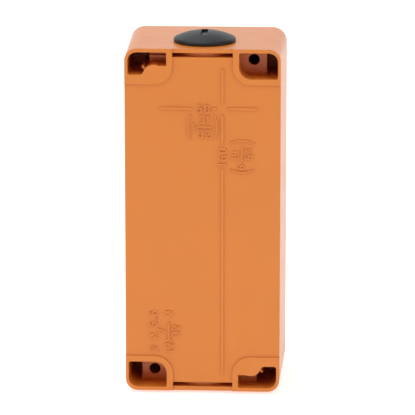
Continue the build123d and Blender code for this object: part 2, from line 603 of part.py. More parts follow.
def spool(x):
    front, back = TAPE_FRONT - 1, TAPE_BACK + 1
    reel = rod("Y", HUB_R, front, back, x, SPOOL_Z)
    for y in (front, back - 0.8):
        reel += rod("Y", FLANGE_R, y, y + 0.8, x, SPOOL_Z)
    reel -= rod("Y", 1.56, front - 1, back + 1, x, SPOOL_Z)
    for i in range(3):
        a = 2 * pi * i / 3
        reel -= rod("Y", 1.2, front - 1, TAPE_FRONT, x + 5.2 * cos(a), SPOOL_Z + 5.2 * sin(a))
    return reel


def wound_tape(x, radius):
    return tube("Y", radius, HUB_R, TAPE_FRONT, TAPE_BACK, x, SPOOL_Z)


def ink_ribbon():
    """The stretch of tape from the full spool, round two guide pins, to the take-up spool."""
    run = PIN_GUIDE_R + 0.05
    low = PIN_Z - run
    left, right = PIN_LEFT - run, PIN_RIGHT + run
    outer = [(left - TAPE, SPOOL_Z), (left - TAPE, low - TAPE),
             (right + TAPE, low - TAPE), (right + TAPE, SPOOL_Z)]
    inner = [(right, SPOOL_Z), (right, low), (left, low), (left, SPOOL_Z)]
    radii = [0.01, run + TAPE, run + TAPE, 0.01, 0.01, run, run, 0.01]
    return slab(rounded(outer + inner, radii), TAPE_BACK, TAPE_BACK - TAPE_FRONT)


def thumbscrew():
    seat = CASSETTE_FACE - 1.4
    head = rod("Y", 3.4, seat - 4, seat, 0, THUMBSCREW_Z)
    for i in range(12):
        a = 2 * pi * i / 12
        head -= rod("Y", 0.45, seat - 5, seat + 1, 3.5 * cos(a), THUMBSCREW_Z + 3.5 * sin(a))
    return head + rod("Y", 1.2, seat - 0.1, seat + 3.6, 0, THUMBSCREW_Z)


# ---------------------------------------------------------------- electronics
def main_board():
    left, right, low, high = MAIN_BOARD
    board = box(left, right, BOARD_FRONT, BOARD_Y, low, high)
    for x, z in MAIN_POSTS:
        board -= rod("Y", 1.3, BOARD_FRONT - 1, BOARD_Y + 1, x, z)
    return board


def terminal_block():
    front = BOARD_FRONT
    block = box(-22, 4, front - 9, front, 17, 27)
    for i in range(5):
        x = -19.4 + 5.2 * i
        block -= rod("Y", 1.7, front - 12, front - 4, x, 24)
        block -= box(x - 1.6, x + 1.6, front - 6, front - 2, 14, 20)
    return block


def board_chips():
    front = BOARD_FRONT
    return [box(x - w / 2, x + w / 2, front - t, front, z - h / 2, z + h / 2)
            for x, z, w, h, t in ((-8, 44, 14, 14, 1.4), (10, 50, 9, 7, 1.2), (10, 38, 6, 5, 1.1),
                                  (-24, 48, 5, 8, 1.2))]


def board_capacitors():
    front = BOARD_FRONT
    return [rod("Y", 3.4, front - 9, front, x, 33) for x in (20, 27.6)]


def board_connectors():
    front = BOARD_FRONT
    return [box(x - w / 2, x + w / 2, front - 6, front, 18, 23) - box(x - w / 2 + 1, x + w / 2 - 1,
            front - 7, front - 2, 19, 22) for x, w in ((12, 10), (25, 9))]


# ---------------------------------------------------------------- the assembly
def build():
    put("rear_housing", rear_housing())
    put("entry_plug", entry_frame(entry_plug()))
    put("entry_plug_seal", entry_frame(tube("Z", 14.25, 12.95, 0, 0.8, 0, 0)))
    put("entry_locknut", entry_frame(plug_locknut()))
    put("hinge_pins", *[hinge_pin(z) for z in HINGE_Z])
    striker = latch_striker()
    put("latch_strikers", striker, opposite(striker))
    seat = COLUMN_FRONT - SHEET
    striker_screws = [small_screw(x, z, seat, 5.0, 1.1, 1.8, 0.9) for x, z in STRIKER_SCREWS]
    striker_screws += [opposite(screw) for screw in striker_screws]
    board_screws = [small_screw(x, z, BOARD_FRONT, 5.4, 1.1, 2.0, 1.2) for x, z in MAIN_POSTS]
    put("small_screws", *striker_screws, *board_screws, *motor_screws())

    put("front_cover", cover_shell())
    put("cover_seal", slab(seal_outline(), FRONT, SEAL_T))
    window = RectangleRounded(WINDOW_W, WINDOW_H, WINDOW_R)
    put("display_window", slab(Pos(0, WINDOW_Z) * window, COVER_FACE + WINDOW_T + 0.1, WINDOW_T))
    put("display_module", slab(Pos(0, WINDOW_Z) * RectangleRounded(46, 20, 0.8), FRONT_BOARD_FACE, 5.2))
    target = RectangleRounded(TARGET_W, TARGET_H, TARGET_R)
    put("card_target", slab(Pos(0, TARGET_Z) * target, COVER_FACE + TARGET_T + 0.2, TARGET_T))
    put("reader_antenna", reader_antenna())
    for name, x in zip(("lens_red", "lens_amber", "lens_green"), LENS_X):
        put(name, lens(x))
    put("ticket_mouth", ticket_mouth())
    put("front_board", front_board())
    board_screw = mirror(small_screw(0, 0, 0, 5.0, 1.1, 2.0, 1.2), about=Plane.XZ)
    put("front_board_screws", *[Pos(x, FRONT_BOARD_Y, z) * board_screw for x, z in FRONT_POSTS])
    switch_face = FRONT_BOARD_FACE - 3
    put("button_switches", *[box(x - 3, x + 3, switch_face, FRONT_BOARD_FACE, BUTTON_Z - 3, BUTTON_Z + 3)
                             for x in BUTTON_X])
    buzzer = rod("Y", 7.5, COVER_IN, COVER_IN + 5.5, SOUND_X, SOUND_Z)
    put("buzzer", buzzer + rod("Y", 1.5, COVER_IN + 5.3, COVER_IN + 5.8, SOUND_X, SOUND_Z))
    put("upper_latch", latch(LATCH_X, LATCH_Z))
    put("lower_latch", latch(-LATCH_X, -LATCH_Z))
    for name, x in zip(("left_button", "right_button"), BUTTON_X):
        put(name, button(x))
    put("button_springs", *[button_spring(x) for x in BUTTON_X])

    put("mechanism_chassis", chassis())
    seat = BACK_PLATE - SHEET
    put("chassis_screws", *[small_screw(x, z, seat, 5.4, 1.5, 2.8, 1.6) for x, z in CHASSIS_POSTS])
    put("shaft_bushes", *bushes())
    put("lower_guide", lower_guide())
    put("upper_guide", upper_guide())
    put("platen", platen())
    put("platen_pad", box(-19, 19, -33.5, -22.5, PATH_Z - 1.9, PATH_Z - 0.9))
    sensors = [box(24, 29.5, y - 2, y + 2, z, z + 4) for y in (-51.8, -16.5)
               for z in (PATH_Z - 6.2, PATH_Z + 1.8)]
    put("ticket_sensors", *sensors)
    put("drive_shaft", rod("X", DRIVE_SHAFT_R, -33.4, 36.2, DRIVE_Y, DRIVE_Z))
    put("drive_tyres", *ring_pair(TYRE_R, DRIVE_SHAFT_R, 3.5))
    put("drive_gear", drive_gear())
    put("pinch_shaft", rod("X", PINCH_SHAFT_R, -32.4, 32.4, DRIVE_Y, PINCH_Z))
    put("pinch_rollers", *ring_pair(PINCH_R, PINCH_SHAFT_R, 3.2))
    put("motor", motor())
    put("motor_shaft", rod("X", MOTOR_SHAFT_R, 19, 36.2, MOTOR_Y, MOTOR_Z))
    put("motor_pinion", motor_pinion())

    put("solenoid_frame", solenoid_frame())
    put("solenoid_coil", tube("Z", COIL_R, COIL_BORE, COIL_LOW, COIL_TOP, 0, STAMP_Y))
    put("stamp_plunger", stamp_plunger())
    put("stamp_block", stamp_block())
    put("stamp_face", box(-17, 17, STAMP_Y - 5, STAMP_Y + 5, STAMP_FOOT, STAMP_FOOT + 0.8))
    put("stamp_spring", stamp_spring())
    put("ribbon_cassette", ribbon_cassette())
    put("cassette_thumbscrew", thumbscrew())
    put("supply_spool", spool(-SPOOL_X))
    put("supply_tape", wound_tape(-SPOOL_X, FULL_R))
    put("take_up_spool", spool(SPOOL_X))
    put("take_up_tape", wound_tape(SPOOL_X, EMPTY_R))
    put("ink_ribbon", ink_ribbon())

    put("main_board", main_board())
    put("terminal_block", terminal_block())
    put("board_chips", *board_chips())
    put("board_capacitors", *board_capacitors())
    put("board_connectors", *board_connectors())


def write_parts():
    os.makedirs("parts", exist_ok=True)
    for name, shapes in NODES.items():
        solids = [solid for shape in shapes for solid in shape.solids()]
        export_step(Compound(children=solids) if len(solids) > 1 else solids[0], f"parts/{name}.step")


build()
write_parts()
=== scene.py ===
import json
from math import cos, pi, radians, sin

import bmesh
import bpy
from mathutils import Matrix, Vector


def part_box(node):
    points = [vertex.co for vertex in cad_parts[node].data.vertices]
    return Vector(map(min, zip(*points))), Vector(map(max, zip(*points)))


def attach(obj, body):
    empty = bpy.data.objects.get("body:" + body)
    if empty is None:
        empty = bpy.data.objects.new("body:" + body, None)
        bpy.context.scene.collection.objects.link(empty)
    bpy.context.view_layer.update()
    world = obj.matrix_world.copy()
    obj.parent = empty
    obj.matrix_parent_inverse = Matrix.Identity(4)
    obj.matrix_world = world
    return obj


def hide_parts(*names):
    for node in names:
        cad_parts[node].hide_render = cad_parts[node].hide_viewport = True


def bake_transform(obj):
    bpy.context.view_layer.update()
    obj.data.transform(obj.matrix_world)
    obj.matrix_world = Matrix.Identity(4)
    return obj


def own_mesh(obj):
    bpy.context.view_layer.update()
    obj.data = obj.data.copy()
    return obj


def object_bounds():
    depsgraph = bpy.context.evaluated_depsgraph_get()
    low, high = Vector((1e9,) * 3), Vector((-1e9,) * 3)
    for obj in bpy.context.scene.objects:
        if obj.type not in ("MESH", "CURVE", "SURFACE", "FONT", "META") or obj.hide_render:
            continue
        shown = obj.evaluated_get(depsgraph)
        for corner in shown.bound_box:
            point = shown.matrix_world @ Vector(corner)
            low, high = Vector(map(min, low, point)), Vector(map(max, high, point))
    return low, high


# Looks for the wall-mounted ticket validator. Metres, +Z up, the wall at Y = 0, the front towards -Y.

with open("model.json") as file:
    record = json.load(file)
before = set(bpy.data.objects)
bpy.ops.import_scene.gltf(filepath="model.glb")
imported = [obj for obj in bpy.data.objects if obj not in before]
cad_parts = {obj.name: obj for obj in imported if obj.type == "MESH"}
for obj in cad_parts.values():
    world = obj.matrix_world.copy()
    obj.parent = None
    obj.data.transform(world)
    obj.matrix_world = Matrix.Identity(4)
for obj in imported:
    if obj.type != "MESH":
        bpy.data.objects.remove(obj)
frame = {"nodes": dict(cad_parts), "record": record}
cad_low, cad_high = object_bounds()

MM = 0.001
nodes = frame["nodes"]


def span(node):
    """A node's lowest and highest corner and its middle."""
    low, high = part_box(node)
    return low, high, (low + high) / 2


# ---------------------------------------------------------------- shader building
def srgb(red, green, blue):
    """A display colour, 0 to 255, as a linear one."""
    def linear(value):
        value /= 255
        return value / 12.92 if value <= 0.04045 else ((value + 0.055) / 1.055) ** 2.4
    return (linear(red), linear(green), linear(blue), 1.0)


def scaled(colour, factor):
    return tuple(min(1.0, c * factor) for c in colour[:3]) + (1.0,)


class Shader:
    """A material under construction: its node tree and its Principled shader."""

    def __init__(self, name, colour, roughness, metallic=0.0):
        self.material = bpy.data.materials.new(name)
        self.material.use_nodes = True
        self.tree = self.material.node_tree
        self.bsdf = self.tree.nodes["Principled BSDF"]
        self.bsdf.inputs["Base Color"].default_value = colour
        self.bsdf.inputs["Roughness"].default_value = roughness
        self.bsdf.inputs["Metallic"].default_value = metallic
        self.material.diffuse_color = colour
        self.place = self.add("ShaderNodeTexCoord").outputs["Object"]

    def add(self, kind, **settings):
        node = self.tree.nodes.new(kind)
        for key, value in settings.items():
            setattr(node, key, value)
        return node

    def link(self, source, target):
        self.tree.links.new(source, target)

    def noise(self, scale, detail=3.0, rough=0.5, stretch=(1, 1, 1)):
        mapping = self.add("ShaderNodeMapping")
        mapping.inputs["Scale"].default_value = stretch
        self.link(self.place, mapping.inputs["Vector"])
        noise = self.add("ShaderNodeTexNoise")
        noise.inputs["Scale"].default_value = scale
        noise.inputs["Detail"].default_value = detail
        noise.inputs["Roughness"].default_value = rough
        self.link(mapping.outputs["Vector"], noise.inputs["Vector"])
        return noise.outputs["Fac"]

    def cells(self, scale):
        cells = self.add("ShaderNodeTexVoronoi", feature="F1")
        cells.inputs["Scale"].default_value = scale
        self.link(self.place, cells.inputs["Vector"])
        return cells.outputs["Distance"]

    def bands(self, scale, direction="X", kind="BANDS", distortion=0.0):
        wave = self.add("ShaderNodeTexWave", wave_type=kind)
        if kind == "BANDS":
            wave.bands_direction = direction
        else:
            wave.rings_direction = direction
        wave.inputs["Scale"].default_value = scale
        wave.inputs["Distortion"].default_value = distortion
        self.link(self.place, wave.inputs["Vector"])
        return wave.outputs["Fac"]

    def remap(self, value, low, high, out_low, out_high):
        node = self.add("ShaderNodeMapRange")
        limits = {"From Min": low, "From Max": high, "To Min": out_low, "To Max": out_high}
        for key, number in limits.items():
            node.inputs[key].default_value = number
        self.link(value, node.inputs["Value"])
        return node.outputs["Result"]

    def mix(self, factor, first, second):
        """Blend two colours; each may be a fixed colour or another node's output."""
        node = self.add("ShaderNodeMix", data_type="RGBA")
        for value, index in ((factor, 0), (first, 6), (second, 7)):
            if isinstance(value, bpy.types.NodeSocket):
                self.link(value, node.inputs[index])
            else:
                node.inputs[index].default_value = value
        return node.outputs[2]

    def grey(self, value):
        """A number as a grey, so that it can be blended as a colour."""
        node = self.add("ShaderNodeCombineColor")
        for socket in node.inputs[:3]:
            self.link(value, socket)
        return node.outputs[0]

    def colour(self, value):
        self.link(value, self.bsdf.inputs["Base Color"])

    def roughness(self, value):
        self.link(value, self.bsdf.inputs["Roughness"])

    def bump(self, height, distance):
        """Stack a bump; the distance is in metres."""
        node = self.add("ShaderNodeBump")
        node.inputs["Distance"].default_value = distance
        node.inputs["Strength"].default_value = 1.0
        self.link(height, node.inputs["Height"])
        socket = self.bsdf.inputs["Normal"]
        if socket.is_linked:
            self.link(socket.links[0].from_socket, node.inputs["Normal"])
        self.link(node.outputs["Normal"], socket)

    def soft_edges(self, radius):
        """Round the look of sharp edges; comes before any bump."""
        node = self.add("ShaderNodeBevel", samples=4)
        node.inputs["Radius"].default_value = radius
        self.link(node.outputs["Normal"], self.bsdf.inputs["Normal"])
        return node.outputs["Normal"]

    def edge_mask(self, rounded_normal):
        """1 along edges, 0 on flat faces."""
        geometry = self.add("ShaderNodeNewGeometry")
        dot = self.add("ShaderNodeVectorMath", operation="DOT_PRODUCT")
        self.link(rounded_normal, dot.inputs[0])
        self.link(geometry.outputs["Normal"], dot.inputs[1])
        return self.remap(dot.outputs["Value"], 1.0, 5 / 6, 0.0, 1.0)


# ---------------------------------------------------------------- materials
def moulded_plastic(name, colour, roughness=0.42, edge=0.3 * MM, grain=0.3 * MM,
                    depth=0.012 * MM, wear=0.0, specular=0.5):
    """Injection-moulded plastic: a fine eroded grain, faint flow marks, soft and slightly worn edges."""
    s = Shader(name, colour, roughness)
    s.bsdf.inputs["Specular IOR Level"].default_value = specular
    rounded = s.soft_edges(edge)
    cloud = s.noise(28, detail=4)
    tint = s.mix(s.remap(cloud, 0.3, 0.7, 0, 1), scaled(colour, 0.965), scaled(colour, 1.02))
    if wear:
        scuffs = s.remap(s.noise(420, detail=5, rough=0.7), 0.45, 0.65, 0, 1)
        worn = s.add("ShaderNodeMath", operation="MULTIPLY")
        s.link(s.edge_mask(rounded), worn.inputs[0])
        s.link(scuffs, worn.inputs[1])
        limited = s.remap(worn.outputs["Value"], 0, 1, 0, wear)
        tint = s.mix(limited, tint, scaled(colour, 1.25))
    s.colour(tint)
    patches = s.noise(90, detail=3)
    s.roughness(s.remap(patches, 0.3, 0.7, roughness - 0.02, roughness + 0.03))
    s.bump(s.noise(1 / grain, detail=2, rough=0.6), depth)
    return s.material


def rubber(name, colour):
    s = Shader(name, colour, 0.75)
    s.soft_edges(0.15 * MM)
    dust = s.remap(s.noise(160, detail=5), 0.5, 0.72, 0, 1)
    s.colour(s.mix(dust, colour, scaled(colour, 1.8)))
    s.bump(s.noise(2600, detail=2), 0.02 * MM)
    return s.material


def machined(name, colour, roughness=0.3, stretch=(1, 40, 40), scale=60, edge=0.12 * MM):
    """Bare metal with fine tool or rolling marks along one direction."""
    s = Shader(name, colour, roughness, metallic=1.0)
    s.soft_edges(edge)
    lines = s.noise(scale, detail=4, rough=0.7, stretch=stretch)
    s.colour(s.mix(s.remap(lines, 0.35, 0.65, 0, 1), scaled(colour, 0.88), scaled(colour, 1.05)))
    s.roughness(s.remap(lines, 0.3, 0.7, roughness - 0.07, roughness + 0.1))
    s.bump(lines, 0.006 * MM)
    return s.material


def zinc_sheet(name):
    """Zinc-plated sheet: faint spangle, a slight warm and cool drift, and soft handling marks."""
    base = srgb(190, 192, 194)
    s = Shader(name, base, 0.36, metallic=1.0)
    s.soft_edges(0.15 * MM)
    spangle = s.cells(260)
    drift = s.noise(35, detail=3)
    patch = s.mix(s.remap(spangle, 0.1, 0.8, 0, 1), scaled(base, 0.86), scaled(base, 1.04))
    s.colour(s.mix(s.remap(drift, 0.4, 0.75, 0, 0.35), patch, srgb(196, 186, 150)))
    s.roughness(s.remap(s.noise(120, detail=5), 0.3, 0.7, 0.28, 0.46))
    s.bump(spangle, 0.004 * MM)
    return s.material


def circuit_board(name):
    """Green solder resist over bundles of copper tracks that run across or up the board, with vias."""
    resist, track = srgb(16, 88, 56), srgb(34, 122, 76)
    s = Shader(name, resist, 0.3)
    s.soft_edges(0.1 * MM)
    fields = s.add("ShaderNodeTexVoronoi", feature="F1", distance="CHEBYCHEV")
    fields.inputs["Scale"].default_value = 95
    s.link(s.place, fields.inputs["Vector"])
    split = s.add("ShaderNodeSeparateColor")
    s.link(fields.outputs["Color"], split.inputs[0])
    across = s.remap(s.bands(340, "Z"), 0.60, 0.68, 0, 1)
    upward = s.remap(s.bands(340, "X"), 0.60, 0.68, 0, 1)
    bundles = s.mix(s.remap(split.outputs[0], 0.49, 0.51, 0, 1), s.grey(across), s.grey(upward))
    laid = s.remap(split.outputs[1], 0.34, 0.36, 0, 1)
    tracks = s.mix(laid, (0, 0, 0, 1), bundles)
    grid = s.add("ShaderNodeTexVoronoi", feature="F1")
    grid.inputs["Scale"].default_value = 330
    grid.inputs["Randomness"].default_value = 0.35
    s.link(s.place, grid.inputs["Vector"])
    vias = s.remap(grid.outputs["Distance"], 0.11, 0.14, 1, 0)
    s.colour(s.mix(vias, s.mix(tracks, resist, track), srgb(196, 182, 130)))
    s.bump(tracks, 0.03 * MM)
    s.bsdf.inputs["Coat Weight"].default_value = 0.35
    s.bsdf.inputs["Coat Roughness"].default_value = 0.15
    return s.material


def window(name):
    s = Shader(name, srgb(226, 232, 234), 0.03)
    s.bsdf.inputs["Transmission Weight"].default_value = 1.0
    s.bsdf.inputs["IOR"].default_value = 1.49
    s.bump(s.noise(900, detail=3), 0.0008 * MM)
    return s.material


def coloured_lens(name, colour):
    s = Shader(name, colour, 0.12)
    s.bsdf.inputs["Transmission Weight"].default_value = 0.35
    s.bsdf.inputs["Coat Weight"].default_value = 0.5
    rings = s.bands(900, "Y", kind="RINGS")
    s.colour(s.mix(s.remap(rings, 0, 1, 0, 0.3), colour, scaled(colour, 0.7)))
    s.bump(rings, 0.01 * MM)
    return s.material


def liquid_crystal(name):
    """The grey-green face of an unlit display, with its fine grid of dots."""
    base = srgb(146, 158, 132)
    s = Shader(name, base, 0.22)
    grid = s.cells(1500)
    s.colour(s.mix(s.remap(grid, 0.0, 0.6, 0, 0.25), base, scaled(base, 0.8)))
    s.bsdf.inputs["Coat Weight"].default_value = 0.4
    return s.material


def inked_tape(name):
    s = Shader(name, srgb(34, 26, 58), 0.7)
    turns = s.bands(700, "Y", kind="RINGS", distortion=0.6)
    s.colour(s.mix(turns, srgb(24, 18, 42), srgb(62, 50, 96)))
    s.bump(turns, 0.05 * MM)
    s.bsdf.inputs["Sheen Weight"].default_value = 0.3
    return s.material


def windings(name):
    """Enamelled copper wire, wound side by side."""
    base = srgb(176, 98, 52)
    s = Shader(name, base, 0.28, metallic=0.85)
    turns = s.bands(560, "Z", distortion=0.3)
    s.colour(s.mix(turns, scaled(base, 0.5), scaled(base, 1.2)))
    s.bump(turns, 0.12 * MM)
    s.bsdf.inputs["Coat Weight"].default_value = 0.5
    return s.material


ORANGE = (0.692, 0.203, 0.024, 1.0)
orange = moulded_plastic("orange_plastic", ORANGE, roughness=0.3, edge=0.35 * MM, wear=0.35)
relief = moulded_plastic("orange_relief", ORANGE, roughness=0.3, edge=0.06 * MM)
black = moulded_plastic("black_plastic", srgb(30, 32, 36), roughness=0.4, edge=0.25 * MM,
                        depth=0.006 * MM, wear=0.4, specular=0.3)
dark_grey = moulded_plastic("dark_grey_plastic", srgb(52, 55, 59), roughness=0.5, grain=0.45 * MM,
                            depth=0.02 * MM)
blue = moulded_plastic("blue_plastic", srgb(38, 78, 150), roughness=0.38, depth=0.006 * MM)
white = moulded_plastic("white_plastic", srgb(228, 224, 212), roughness=0.4, depth=0.005 * MM)
green = moulded_plastic("green_plastic", srgb(56, 140, 78), roughness=0.42, depth=0.006 * MM)
epoxy = moulded_plastic("chip_epoxy", srgb(30, 30, 32), roughness=0.55, edge=0.1 * MM, grain=0.15 * MM)
sleeve = moulded_plastic("can_sleeve", srgb(34, 44, 74), roughness=0.22, depth=0.002 * MM)
black_rubber = rubber("black_rubber", srgb(30, 30, 31))
zinc = zinc_sheet("zinc_steel")
steel = machined("ground_steel", srgb(200, 202, 205), 0.24)
brass = machined("brass", srgb(206, 172, 104), 0.3, stretch=(1, 1, 1), scale=1400)
bronze = machined("bronze", srgb(168, 122, 78), 0.4, stretch=(10, 10, 10), scale=400)
board = circuit_board("circuit_board")
glass = window("clear_window")
crystal = liquid_crystal("display_glass")
tape = inked_tape("ink_tape")
copper = windings("copper")
red_lens = coloured_lens("lens_red", srgb(205, 32, 26))
amber_lens = coloured_lens("lens_amber", srgb(240, 158, 30))
green_lens = coloured_lens("lens_green", srgb(36, 160, 66))

# finishes of the pieces that only Blender adds
tin = machined("tinned_leads", srgb(206, 206, 200), 0.3, stretch=(8, 8, 8), scale=900, edge=0.03 * MM)
ceramic = moulded_plastic("ceramic_parts", srgb(150, 118, 84), roughness=0.45, edge=0.05 * MM,
                          grain=0.1 * MM)
print_white = moulded_plastic("white_print", srgb(236, 236, 230), roughness=0.5, edge=0.02 * MM,
                              depth=0.003 * MM)
lcd_ink = moulded_plastic("display_segments", srgb(20, 24, 22), roughness=0.3, edge=0.01 * MM,
                          depth=0.001 * MM)

BY_SLOT = {
    "orange_plastic": orange, "black_plastic": black, "dark_grey_plastic": dark_grey,
    "rubber_black": black_rubber, "zinc_steel": zinc, "ground_steel": steel, "brass": brass,
    "bronze": bronze, "clear_window": glass, "display_glass": crystal, "lens_red": red_lens,
    "lens_amber": amber_lens, "lens_green": green_lens, "blue_plastic": blue, "circuit_board": board,
    "copper": copper, "white_plastic": white, "ink_tape": tape, "green_plastic": green,
    "chip_epoxy": epoxy, "can_sleeve": sleeve,
}
for part in frame["record"]["subparts"]:
    shown = nodes[part["node"]]
    shown.data.materials.clear()
    shown.data.materials.append(BY_SLOT[part["material_slot"]])


# ---------------------------------------------------------------- piece building
# Flat work is drawn in its own X-Y plane and stands up along +Z; these turn it to face out of the object.
# The rear face is read from behind, so its lettering runs towards -X, and the front's runs towards +X.
REAR_LEVEL = Matrix(((-1, 0, 0), (0, 0, 1), (0, 1, 0))).to_4x4()
REAR_UPWARD = Matrix(((0, 1, 0), (0, 0, 1), (1, 0, 0))).to_4x4()
FRONT_LEVEL = Matrix(((1, 0, 0), (0, 0, -1), (0, 1, 0))).to_4x4()


def at(x, y, z, facing=FRONT_LEVEL):
    """A place in metres for flat work that faces the front, unless told otherwise."""
    return Matrix.Translation((x, y, z)) @ facing


def finished(bm, name):
    bmesh.ops.recalc_face_normals(bm, faces=bm.faces)
    mesh = bpy.data.meshes.new(name)
    bm.to_mesh(mesh)
    bm.free()
    return mesh


def piece(name, parts, material, body):
    """One object from several (mesh, place) pairs; without a body, it is left to be blended."""
    bm = bmesh.new()
    for mesh, place in parts:
        mesh.transform(place)
        bm.from_mesh(mesh)
        bpy.data.meshes.remove(mesh)
    joined = bpy.data.meshes.new(name)
    bm.to_mesh(joined)
    bm.free()
    made = bpy.data.objects.new(name, joined)
    bpy.context.collection.objects.link(made)
    joined.materials.append(material)
    if body:
        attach(made, body)
    return made


def arc(x, y, rx, ry, start, end, steps=10):
    """Points on an ellipse's arc; the angles are in degrees."""
    angles = [radians(start + (end - start) * i / steps) for i in range(steps + 1)]
    return [(x + rx * cos(a), y + ry * sin(a)) for a in angles]


def strip(points, width, depth, closed=False):
    """A raised band along a line, with eased upper edges."""
    e = min(width * 0.1, depth * 0.75)
    section = [(-width / 2, 0), (-width / 2, depth - e), (-width / 2 + e, depth),
               (width / 2 - e, depth), (width / 2, depth - e), (width / 2, 0)]
    path = [Vector(p) for p in points]
    bm = bmesh.new()
    rows = []
    count = len(path)
    for i, here in enumerate(path):
        before = path[i - 1] if i or closed else None
        after = path[(i + 1) % count] if i < count - 1 or closed else None
        into = (here - before).normalized() if before is not None else (after - here).normalized()
        out = (after - here).normalized() if after is not None else into
        along = (into + out).normalized()
        side = Vector((-along.y, along.x)) / max(0.5, along.dot(into))
        rows.append([bm.verts.new((here.x + side.x * s, here.y + side.y * s, h)) for s, h in section])
    pairs = list(zip(rows, rows[1:])) + ([(rows[-1], rows[0])] if closed else [])
    for first, second in pairs:
        for i in range(len(section)):
            j = (i + 1) % len(section)
            bm.faces.new((first[i], first[j], second[j], second[i]))
    if not closed:
        bm.faces.new(rows[0])
        bm.faces.new(list(reversed(rows[-1])))
    return finished(bm, "strip")


def prism(outline, depth, ease=0.0):
    """A filled outline with a small bevel round its top."""
    bm = bmesh.new()
    base = [bm.verts.new((x, y, 0)) for x, y in outline]
    top = [bm.verts.new((x, y, depth)) for x, y in outline]
    bm.faces.new(base)
    for i in range(len(base)):
        j = (i + 1) % len(base)
        bm.faces.new((base[j], base[i], top[i], top[j]))
    bm.faces.new(top)
    if ease:
        rim = [e for e in bm.edges if all(v in top for v in e.verts)]
        bmesh.ops.bevel(bm, geom=rim, offset=ease, segments=2, affect="EDGES")
    return finished(bm, "prism")


def block(width, height, depth, ease):
    """A small moulded block on the plane, centred, with eased edges."""
    bm = bmesh.new()
    bmesh.ops.create_cube(bm, size=1)
    bmesh.ops.scale(bm, vec=(width, height, depth), verts=bm.verts)
    bmesh.ops.translate(bm, vec=(0, 0, depth / 2), verts=bm.verts)
    bmesh.ops.bevel(bm, geom=bm.edges[:], offset=ease, segments=2, affect="EDGES")
    return finished(bm, "block")


def turned(profile, steps):
    """Spin a profile of (radius, height) points round Z; a closed ring if it doesn't reach the axis."""
    bm = bmesh.new()
    rows = []
    for r, h in profile:
        if r == 0:
            rows.append([bm.verts.new((0, 0, h))])
        else:
            rows.append([bm.verts.new((r * cos(2 * pi * i / steps), r * sin(2 * pi * i / steps), h))
                         for i in range(steps)])
    pairs = list(zip(rows, rows[1:]))
    if len(rows[0]) > 1 and len(rows[-1]) > 1:
        pairs.append((rows[-1], rows[0]))
    for first, second in pairs:
        for i in range(steps):
            j = (i + 1) % steps
            if len(first) == 1:
                bm.faces.new((first[0], second[i], second[j]))
            elif len(second) == 1:
                bm.faces.new((first[i], second[0], first[j]))
            else:
                bm.faces.new((first[i], second[i], second[j], first[j]))
    for face in bm.faces:
        face.smooth = True
    return finished(bm, "turned")


def turned_mm(profile, steps):
    """The same, from a profile in millimetres."""
    return turned([(r * MM, h * MM) for r, h in profile], steps)


def helix(radius, wire, height, turns, steps=28, sides=8):
    """Round wire wound upwards from the plane, with closed ends."""
    bm = bmesh.new()
    rows = []
    ring = [2 * pi * k / sides for k in range(sides)]
    for i in range(turns * steps + 1):
        turn = i / steps
        climb = min(1.0, max(0.0, (turn - 0.75) / (turns - 1.5)))
        out = Vector((cos(2 * pi * turn), sin(2 * pi * turn), 0))
        centre = out * radius + Vector((0, 0, wire / 2 + (height - wire) * climb))
        around = [out * cos(b) + Vector((0, 0, sin(b))) for b in ring]
        rows.append([bm.verts.new(centre + way * wire / 2) for way in around])
    for first, second in zip(rows, rows[1:]):
        for i in range(sides):
            j = (i + 1) % sides
            bm.faces.new((first[i], first[j], second[j], second[i]))
    for face in bm.faces:
        face.smooth = True
    bm.faces.new(rows[0])
    bm.faces.new(list(reversed(rows[-1])))
    return finished(bm, "helix")


def rounded_outline(width, height, radius, steps=6):
    points = []
    for sx, sy, start in ((1, 1, 0), (-1, 1, 90), (-1, -1, 180), (1, -1, 270)):
        cx, cy = sx * (width / 2 - radius), sy * (height / 2 - radius)
        points += arc(cx, cy, radius, radius, start, start + 90, steps)
    return points


# Numerals as (width, strokes) in a cell one unit high, the way an engraver cuts them. A stroke whose
# ends nearly meet is a closed loop.
NUMERALS = {
    "0": (0.62, [arc(0.31, 0.72, 0.25, 0.24, 0, 180) + arc(0.31, 0.28, 0.25, 0.24, 180, 360)
                 + [(0.56, 0.66)]]),
    "1": (0.40, [[(0.02, 0.76), (0.26, 0.96), (0.26, 0.04)]]),
    "2": (0.60, [arc(0.30, 0.71, 0.24, 0.25, 160, -30) + [(0.06, 0.04), (0.56, 0.04)]]),
    "3": (0.60, [arc(0.28, 0.73, 0.23, 0.23, 150, -80), arc(0.28, 0.28, 0.26, 0.24, 85, -150)]),
    "4": (0.62, [[(0.42, 0.04), (0.42, 0.96), (0.05, 0.28)], [(0.05, 0.28), (0.58, 0.28)]]),
    "5": (0.60, [[(0.52, 0.96), (0.12, 0.96), (0.08, 0.55)] + arc(0.29, 0.32, 0.25, 0.28, 130, -150)]),
    "6": (0.60, [[(0.46, 0.96)] + arc(0.34, 0.50, 0.28, 0.44, 120, 180, 5),
                 arc(0.31, 0.29, 0.25, 0.25, 0, 345, 16)]),
    "7": (0.58, [[(0.04, 0.96), (0.52, 0.96), (0.20, 0.04)]]),
    "9": (0.60, [arc(0.30, 0.70, 0.25, 0.25, 180, 525, 16),
                 arc(0.27, 0.50, 0.28, 0.44, 0, -60, 5) + [(0.14, 0.04)]]),
    "Ø": (0.66, [arc(0.33, 0.50, 0.26, 0.38, 0, 345, 18), [(0.02, 0.04), (0.64, 0.96)]]),
    ".": (0.22, [[(0.05, 0.10), (0.17, 0.10)]]),
    "(": (0.32, [arc(0.66, 0.50, 0.58, 0.62, 130, 230)]),
    ")": (0.32, [arc(-0.34, 0.50, 0.58, 0.62, 50, -50)]),
    " ": (0.34, []),
}
LETTER_GAP = 0.30
CROSSING = 0.08                 # a crossing stroke's top stays this share under the first one's


